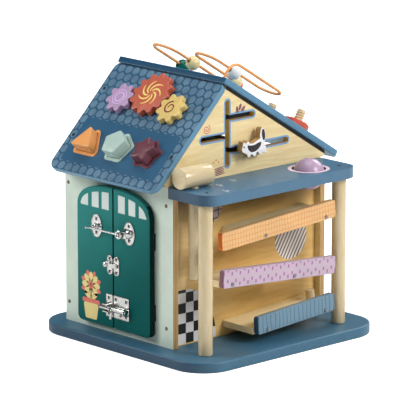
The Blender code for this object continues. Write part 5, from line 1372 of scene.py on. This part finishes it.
def pressed(outline):
    """Sheet pressing: a flat field inside a raised and bevelled rim."""
    field = outline - outward(outline) * PLATE_RIM
    rim = band(field, outline, FOOT, PLATE_TOP, PLATE_BEVEL)
    return [plank(field, FOOT, PLATE_TOP - FIELD_SINK), rim]


def oval_plate(x):
    """Oval pressing about an upright axis on the door."""
    return pressed(circle(0, 0, 1, count=64) * OVAL_HALVES + (x, OVAL_Z))


def bar_plate(x):
    """Pressing with half circles at its upper and lower end."""
    radius, reach = BAR_PLATE_WIDTH / 2, (BAR_PLATE_HEIGHT - BAR_PLATE_WIDTH) / 2
    top = arc(x, BAR_Z + reach, radius, 0, np.pi, steps=20)
    return pressed(np.concatenate([top, arc(x, BAR_Z - reach, radius, np.pi, 2 * np.pi, steps=20)]))


def bolt_side_plate(left, right):
    """Square pressing of the barrel bolt, set on the door."""
    corners = box_corners(left, right, BOLT_Z - BOLT_PLATE_DOWN, BOLT_Z + BOLT_PLATE_UP)
    return [on_door(part) for part in pressed(rounded(corners, BOLT_PLATE_CORNER))]


def across_door(part, left):
    """Part drawn in height along the door and height out of it, and standing along X from a place."""
    return laid(part, (left, DOOR_Y, 0), (0, 0, 1), (0, -1, 0))


def on_path(rows):
    """Route on the door from rows of X, height and distance out of the door."""
    return np.array([(x, DOOR_Y - out, z) for x, z, out in rows])


def knob(x, z, out, way, radius, reach, steps):
    """Ball at a bar's end: rings along a way on the door, their radius a cosine of the turn."""
    turn = np.linspace(-1.5, 1.5, steps)
    route = np.outer(reach * np.sin(turn), way) + (x, z, out)
    return tube(on_path(route), radius * np.cos(turn) + 0.0001)


chrome = steel("nickel_plate", "chrome", (214, 214, 212), rough=0.17)
# The hook's eye: a boss and an open wire loop on an oval plate
boss = dome(EYE_X + 0.0005, HOOK_Z + 0.0025, radius=0.0044, high=0.0066)
parts = [on_door(part) for part in oval_plate(EYE_X) + [boss]]
loop = arc(HOOK_OUT, HOOK_Z, EYE_RADIUS, np.radians(60), np.radians(210), steps=16)
parts.append(tube(on_path([(EYE_X, z, out) for out, z in loop]), EYE_WIRE, sides=12))
made("hook_eye_plated", parts, chrome, "left_door", "hook_eye_plate")

# The hook's pivot: a boss with a tongue that carries a pin
parts = oval_plate(OVAL_X) + [dome(OVAL_X, OVAL_Z, radius=0.007, high=0.007)]
parts.append(plank(rounded(TONGUE, TONGUE_CORNERS), TONGUE_LOW, TONGUE_HIGH, ease=0.0006))
parts.append(at(rod(radius=0.0018, low=0.0045, high=0.0104, ease=0.0006, count=32), RING_X, HOOK_Z))
made("hook_pivot_plated", parts, chrome, "right_door", "hook_pivot_plate", place=on_door)

# The hook: a ring round the pin, a straight shank and a drooping beak
ring = skin(turned(circle(0, 0, 1, count=16) * RING_HALVES + (RING_RADIUS, HOOK_OUT), count=48), closed=True)
rise = np.linspace(0, 1, 12)
reach = np.concatenate([np.linspace(RING_X - 0.005, SHANK_END, 12), BEAK_START - BEAK_LENGTH * rise])
height = np.concatenate([np.full(12, HOOK_Z), HOOK_Z - BEAK_DROOP * rise ** 1.5])
thick = np.concatenate([np.full(12, HOOK_THICK), HOOK_THICK - HOOK_TAPER * rise])
wire = tube(on_path([(x, z, HOOK_OUT) for x, z in zip(reach, height)]), thick)
tip = knob(reach[-1], height[-1], HOOK_OUT, (-1, 0, 0), radius=0.0018, reach=0.0016, steps=9)
made("hook_plated", [on_door(at(ring, RING_X, HOOK_Z)), wire, tip], chrome, "hook", "hook")

# The turn bar with its rest and its pivot
corners = box_corners(BAR_LEFT_X - REST_HALF, BAR_LEFT_X + REST_HALF, REST_LOW, REST_HIGH)
rest = plank(corners, FOOT, REST_OUT, ease=0.0003)
made("bar_rest_plated", bar_plate(BAR_LEFT_X) + [rest], chrome, "left_door", "bar_rest_plate", place=on_door)
pin = at(rod(radius=0.0015, low=FOOT, high=0.0042, ease=0.0002, count=24), BAR_RIGHT_X, BAR_Z)
head = at(rod(radius=0.00275, low=0.0041, high=0.0049, ease=0.0004, count=32), BAR_RIGHT_X, BAR_Z)
parts = bar_plate(BAR_RIGHT_X) + [pin, head]
made("bar_pivot_plated", parts, chrome, "right_door", "bar_pivot_plate", place=on_door)
parts = [plank(rounded(BAR, BAR_CORNER), BAR_LOW, BAR_HIGH, ease=0.0005)]
parts.append(dome(BAR_KNOB_X, BAR_Z, radius=0.0046, high=0.0069, low=0.0026, foot=0.0024))
made("turn_bar_plated", parts, chrome, "turn_bar", "turn_bar", place=on_door)

# The barrel bolt: a keeper of two cheeks, two loops that guide the barrel, and its lever
parts = bolt_side_plate(KEEPER_LEFT, KEEPER_RIGHT)
for near, far in ((-LOOP_OUTER, -LOOP_INNER), (LOOP_INNER, LOOP_OUTER)):
    cheek = np.array(box_corners(BOLT_Z + near, BOLT_Z + far, FOOT, CHEEK_OUT))
    parts.append(across_door(plank(cheek, 0, CHEEK_LENGTH, ease=0.0002), CHEEK_LEFT))
made("bolt_keeper_plated", parts, chrome, "left_door", "bolt_keeper")
parts = bolt_side_plate(GUIDE_LEFT, GUIDE_RIGHT)
over = arc(BOLT_Z, BOLT_OUT, LOOP_OUTER, 0, np.pi, steps=16)
under = arc(BOLT_Z, BOLT_OUT, LOOP_INNER, np.pi, 0, steps=16)
near = [(BOLT_Z + LOOP_INNER, FOOT), (BOLT_Z + LOOP_OUTER, FOOT)]
far = [(BOLT_Z - LOOP_OUTER, FOOT), (BOLT_Z - LOOP_INNER, FOOT)]
loop = np.concatenate([near, over, far, under])
parts += [across_door(plank(loop, 0, LOOP_LENGTH), left) for left in LOOPS_LEFT]
made("bolt_plate_plated", parts, chrome, "right_door", "bolt_plate")
barrel = across_door(at(rod(BOLT_RADIUS, BOLT_LEFT, BOLT_RIGHT, ease=0.0012), BOLT_Z, BOLT_OUT), 0)
path = [(LEVER_X, BOLT_Z, BOLT_OUT + 0.001)]
bend = arc(BOLT_Z - LEVER_BEND, LEVER_OUT - LEVER_BEND, LEVER_BEND, np.pi / 2, 0, steps=10)
path += [(LEVER_X, z, out) for z, out in bend]
path += [(LEVER_X, z, LEVER_OUT) for z in np.linspace(BOLT_Z - 0.004, KNOB_Z - 0.0005, 6)]
lever = tube(on_path(path), LEVER_RADIUS)
ball = knob(LEVER_X, KNOB_Z, LEVER_OUT, (0, -1, 0), KNOB_RADIUS, KNOB_RADIUS, steps=12)
made("slide_bolt_plated", [barrel, lever, ball], chrome, "slide_bolt", "slide_bolt")

# Domed screws, each with a black cross, painted shade where its recess would be, made of one quarter turned
# four times
quarter = np.array([(3, 1), (1, 1), (1, 3)]) * CROSS_UNIT
quarter_turn = np.array([(0, 1), (-1, 0)])
cross = np.concatenate([quarter @ np.linalg.matrix_power(quarter_turn, i) for i in range(4)])
cross = cross @ CROSS_TURN
head = dome(0, 0, LATCH_SCREW_RADIUS, LATCH_SCREW_TOP)
for side, places in LATCH_SCREWS.items():
    heads = [at(head, *place) for place in places]
    made("latch_screws_" + side, heads, chrome, side + "_door", place=on_door)
    # The black crosses are painted shade for the screws' recesses
    crosses = [at(plank(cross, 0, CROSS_TOP), *place) for place in places]
    made("latch_recesses_" + side, crosses, ink_print, side + "_door", place=on_door)


# Bead wire and beads
# One enamelled steel wire in flat loops over the back roof, both its ends set into the board. Round
# painted wooden beads are threaded on it.
WIRE_RADIUS = 0.0020
WIRE_HEIGHT = 0.0306
WIRE_BEND = 0.020
STRANDS = (0.0555, 0.0143, -0.0275, -0.0665, -0.114)
UPPER_LOOPS = 0.037
LOWER_LOOPS = 0.118
FOOT_FIRST = UPPER_LOOPS - WIRE_BEND
FOOT_LAST = 0.130
BEAD_RADIUS = 0.01035
BEAD_BORE = 0.0037
BEAD_CREAM = (222, 204, 152)
BEAD_TEAL = (0, 92, 82)
BEAD_WHITE = (224, 224, 222)
BEAD_CORAL = (232, 112, 92)
HANG_HEIGHT = 0.02935
LOOP_HEIGHT = 0.0307
INWARD = 0.00144
CORAL_BEARING = np.radians(78)


def wire_route(steps=28):
    """Wire in roof coordinates: up from the roof, round four flat half circles, and back down."""
    crown = WIRE_HEIGHT - WIRE_BEND
    rise = arc(FOOT_FIRST + WIRE_BEND, crown, WIRE_BEND, np.pi, np.pi / 2, steps=12)
    rows = [[(STRANDS[0], FOOT_FIRST, -ROOF_BOARD)]]
    rows.append(np.column_stack([np.full(len(rise), STRANDS[0]), rise]))
    for i, (near, far) in enumerate(zip(STRANDS, STRANDS[1:])):
        down, end = (LOWER_LOOPS, np.pi) if i % 2 == 0 else (UPPER_LOOPS, -np.pi)
        rows.append(level(arc((near + far) / 2, down, (near - far) / 2, 0, end, steps), WIRE_HEIGHT))
    fall = arc(FOOT_LAST - WIRE_BEND, crown, WIRE_BEND, np.pi / 2, 0, steps=12)
    rows.append(np.column_stack([np.full(len(fall), STRANDS[-1]), fall]))
    rows.append([(STRANDS[-1], FOOT_LAST, -ROOF_BOARD)])
    return np.concatenate(rows)


def bead(bearing):
    """Round bead with a straight bore along a bearing in the roof's plane."""
    reach = np.arccos(BEAD_BORE / BEAD_RADIUS)
    half = BEAD_RADIUS * np.sin(reach)
    bore = [(BEAD_BORE, z) for z in np.linspace(half, -half, 6)[1:-1]]
    profile = np.concatenate([arc(0, 0, BEAD_RADIUS, -reach, reach, steps=28), bore])
    points, faces = skin(turned(profile, count=56), closed=True)
    along = np.array((np.cos(bearing), np.sin(bearing), 0))
    side = np.array((-np.sin(bearing), np.cos(bearing), 0))
    return points @ np.stack([side, (0, 0, 1), along]), faces


wire_look = painted("wire_enamel", "wire_enamel", (224, 152, 92), gloss=0.3, peel=0.05)
wire = tube(wire_route(), WIRE_RADIUS)
made("bead_wire_enamelled", [wire], wire_look, "house", "bead_wire", crease=60, place=on_back_roof)
straight = np.pi / 2
loop_middle, loop_radius = (STRANDS[2] + STRANDS[3]) / 2, (STRANDS[2] - STRANDS[3]) / 2 - INWARD
cream_x = STRANDS[2] - INWARD
coral_x = loop_middle + loop_radius * np.cos(CORAL_BEARING)
coral_down = LOWER_LOOPS + loop_radius * np.sin(CORAL_BEARING)
coral_bore = CORAL_BEARING + straight
# Body, slot and colour of each bead, then its place on the roof and its height, and its bore's bearing
BEADS = {
    "teal": ("teal_bead", "bead_teal", BEAD_TEAL, (STRANDS[4], 0.093, HANG_HEIGHT), straight),
    "cream_upper": ("upper_cream_bead", "cream", BEAD_CREAM, (STRANDS[3], 0.065, HANG_HEIGHT), straight),
    "white": ("white_bead", "white", BEAD_WHITE, (STRANDS[1], 0.069, HANG_HEIGHT), straight),
    "cream_lower": ("lower_cream_bead", "cream", BEAD_CREAM, (cream_x, LOWER_LOOPS, LOOP_HEIGHT), straight),
    "coral": ("coral_bead", "coral", BEAD_CORAL, (coral_x, coral_down, LOOP_HEIGHT), coral_bore),
}
for name, (body, slot, rgb, where, bearing) in BEADS.items():
    look = painted("bead_" + name + "_paint", slot, rgb, gloss=0.18, peel=0.05)
    part = at(bead(bearing), *where)
    made("bead_" + name + "_painted", [part], look, body, "bead_" + name, place=on_back_roof)


# Bolts and nuts
# Large turned beech bolts with a cut thread, glued into the back roof. Each carries a hexagonal wooden
# nut, painted coral, that turns on it.
STUD_RADIUS = 0.0065
THREAD_DEPTH = 0.0011
THREAD_PITCH = 0.0038
THREAD_FADE = 0.002
STUD_RISE = 0.028
STUD_DOWN = 0.185
STUD_X = {"left": -0.009, "right": 0.049}
NUT_WIDTH = 0.034
NUT_HEIGHT = 0.011
NUT_LIFT = 0.0003
NUT_CORNER = 0.006
NUT_BORE = 0.0068
NUT_EASE = 0.0018


def threaded(low, high, count=64, steps=150):
    """Bolt whose radius follows a helix: a rounded wave of height minus turn, faded out at the ends."""
    z = np.linspace(low, high, steps)
    angle = 2 * np.pi * np.arange(count) / count
    phase = z[:, None] / THREAD_PITCH - angle[None] / (2 * np.pi)
    wave = np.abs(2 * (phase - np.floor(phase)) - 1)
    fade = np.clip((high - z) / THREAD_FADE, 0, 1)[:, None]
    start = np.clip(z / THREAD_FADE, 0, 1)[:, None]
    radius = STUD_RADIUS - THREAD_DEPTH * (1 - fade) * 0.8 - THREAD_DEPTH * wave * fade * start
    heights = np.broadcast_to(z[:, None], radius.shape)
    return skin(np.stack([radius * np.cos(angle), radius * np.sin(angle), heights], -1))


def nut(low, high):
    """Round-cornered hexagonal nut: one closed skin over its outside and down its bore."""
    outer = rounded(circle(0, 0, NUT_WIDTH / 2 / np.cos(np.pi / 6), count=6), NUT_CORNER, steps=24)
    inner = circle(0, 0, NUT_BORE, len(outer), np.arctan2(outer[0, 1], outer[0, 0]))
    rings = eased(outer, low, high, NUT_EASE, steps=5)
    return skin([level(inner, low)] + rings + [level(inner, high)], closed=True)


stud_look = wooden("stud_beech", "turned_wood", UPRIGHT, PALE_BEECH, DARK_BEECH, contrast=0.6)[0]
nut_look = painted("nut_coral", "coral", (194, 88, 72), gloss=0.5, peel=0.06, mirror=0.1)
for side, x in STUD_X.items():
    stud = at(threaded(-ROOF_BOARD, STUD_RISE), x, STUD_DOWN)
    node = "stud_" + side
    made(node + "_threaded", [stud], stud_look, "house", node, crease=70, place=on_back_roof)
    part = at(nut(NUT_LIFT, NUT_LIFT + NUT_HEIGHT), x, STUD_DOWN)
    made("nut_" + side + "_painted", [part], nut_look, side + "_nut", "nut_" + side, place=on_back_roof)


# Slider
# A plywood animal, painted white with dark patches. It is glued on a turned beech stem that runs in the
# gable's lower slot.
FIGURE_LOW, FIGURE_HIGH, FIGURE_EASE = 0.0056, 0.0156, 0.0009
FIGURE_SIZE = (0.049, 0.040)
FIGURE_CORNER = (0.004 - 0.027, 0.275 - 0.012)
# Outline of the animal from its hind foot on, as shares of its length and height
FIGURE = np.array((
    (0.255, 0.050), (0.296, 0.025), (0.337, 0.050), (0.408, 0.125), (0.480, 0.050),
    (0.520, 0.025), (0.561, 0.063), (0.633, 0.175), (0.694, 0.075), (0.735, 0.050),
    (0.776, 0.075), (0.827, 0.113), (0.969, 0.075), (1.000, 0.125), (0.959, 0.300),
    (0.918, 0.450), (0.949, 0.700), (0.918, 0.875), (0.837, 1.000), (0.765, 0.950),
    (0.724, 0.775), (0.724, 0.638), (0.633, 0.588), (0.469, 0.513), (0.347, 0.525),
    (0.276, 0.613), (0.214, 0.563), (0.163, 0.563), (0.092, 0.600), (0.061, 0.475),
    (0.031, 0.350), (0.061, 0.250), (0.184, 0.175), (0.235, 0.113),
)) * FIGURE_SIZE + FIGURE_CORNER
# Dark patch on its back, in millimetres of Y and Z
SADDLE = np.array((
    (-10.1, 281.4), (-11.0, 278.8), (-8.2, 274.1), (-3.4, 271.3), (3.4, 271.5), (10.1, 274.6),
    (13.9, 278.8), (14.5, 283.2), (8.2, 282.5), (2.4, 280.7), (-5.3, 280.6),
)) / 1000
SLIDER_WHITE = (228, 228, 232)
SLIDER_PALE = (206, 170, 116)
SLIDER_DARK = (166, 118, 66)


def loop_through(points, steps=8):
    """Closed curve through points: each span is a cubic whose slopes follow the neighbours (Catmull-Rom)."""
    before, first, second, after = (np.roll(points, k, 0)[:, None] for k in (1, 0, -1, -2))
    t = (np.arange(steps) / steps)[None, :, None]
    pull = (second - before) * t + (2 * before - 5 * first + 4 * second - after) * t ** 2
    return (first + (pull + (3 * first - before - 3 * second + after) * t ** 3) / 2).reshape(-1, 2)


look, tree, shader, wood = wooden("slider_ply", "white", SIDEWAYS, SLIDER_PALE, SLIDER_DARK, ply=(1, 0, 0))
paint_over(tree, shader, wood, facing(tree, (1, 0, 0), limit=0.8), SLIDER_WHITE, gloss=0.4, peel=0.1)
figure = plank(loop_through(FIGURE), FIGURE_LOW, FIGURE_HIGH, FIGURE_EASE)
made("slider_figure_painted", [figure], look, "slider", "slider_figure", place=on_wall)
dressed(peg_look, "slider_stem")
neck = leaf(0.0190, 0.2930, length=0.0165, width=0.0060, angle=1.70)
spot = leaf(-0.0175, 0.2800, length=0.0030, width=0.0024, angle=0.4)
patches = [loop_through(SADDLE), neck, spot]
patch_look = painted("slider_patch", "grip_rubber", (46, 40, 44), gloss=0.4)
prints("slider_patches_print", patch_look, patches, "slider", lambda part: on_wall(part, FIGURE_HIGH))


# Loose prints
# Small printed motifs in the house's own colours: a sprig, a curl, dots and dashes on the porch gable,
# and three sprays of leaves on the shelf.
SPRIG_Y, SPRIG_Z = -0.0105, 0.3310
CURL_PLACE = (-0.073, 0.310)
CURL_RADIUS, CURL_HALF_WIDTH = 0.0068, 0.0006
DOTS_Y, DOTS_Z, DOT_PITCH, DOT_RADIUS = -0.0600, 0.2620, 0.0045, 0.0014
DASHES_Y, DASHES_Z, DASHES_PITCH = -0.0505, 0.2440, 0.0023
SPRAY_PLACES = ((0.098, -0.050), (0.109, -0.085), (0.140, -0.102))
SPRAY_TURNS = np.radians((20, 70, 110, 160)) - 0.2
plum_print = painted("print_plum", "star_plum", (128, 78, 92))
gray_print = painted("print_gray", "sky", (150, 166, 176))
orange_print = painted("print_orange", "orange", (214, 132, 66))
sprig = [box_corners(-0.0200, -0.0010, 0.3268, 0.3276)]
for i in (-1, 0, 1):
    y, z = SPRIG_Y + 0.0055 * i, SPRIG_Z + 0.0022 * np.cos(2 * i)
    sprig.append(leaf(y, z, length=0.0100, width=0.0046, angle=1.2 - 0.5 * i, pinch=0.2))
prints("sprig_print", plum_print, sprig, "house", on_wall)
curl = swirl(CURL_RADIUS, start=0.4, sweep=4.2 * np.pi, inner=0.1, steps=60) + CURL_PLACE
curl = ribbon(curl, np.full(60, CURL_HALF_WIDTH), 0, PRINT_THICKNESS)
made("curl_print", [curl], coral_print, "house", place=on_wall)
dots = [circle(DOTS_Y + DOT_PITCH * i, DOTS_Z + 0.0030 * (i % 2), DOT_RADIUS, count=16) for i in range(3)]
prints("dots_print", orange_print, dots, "house", on_wall)
dash_lengths = (0.0230, 0.0210)
dashes = [leaf(DASHES_Y, DASHES_Z + DASHES_PITCH * i, dash_lengths[i % 2], width=0.0016, angle=0.12)
          for i in range(5)]
prints("dashes_print", plum_print, dashes, "house", on_wall)
sprays = [outline for x, y in SPRAY_PLACES
          for outline in spray(x, y, reach=0.0045, turns=SPRAY_TURNS, length=0.0085, width=0.0030, pinch=0.2)]
prints("shelf_leaves_print", gray_print, sprays, "house", on_shelf)
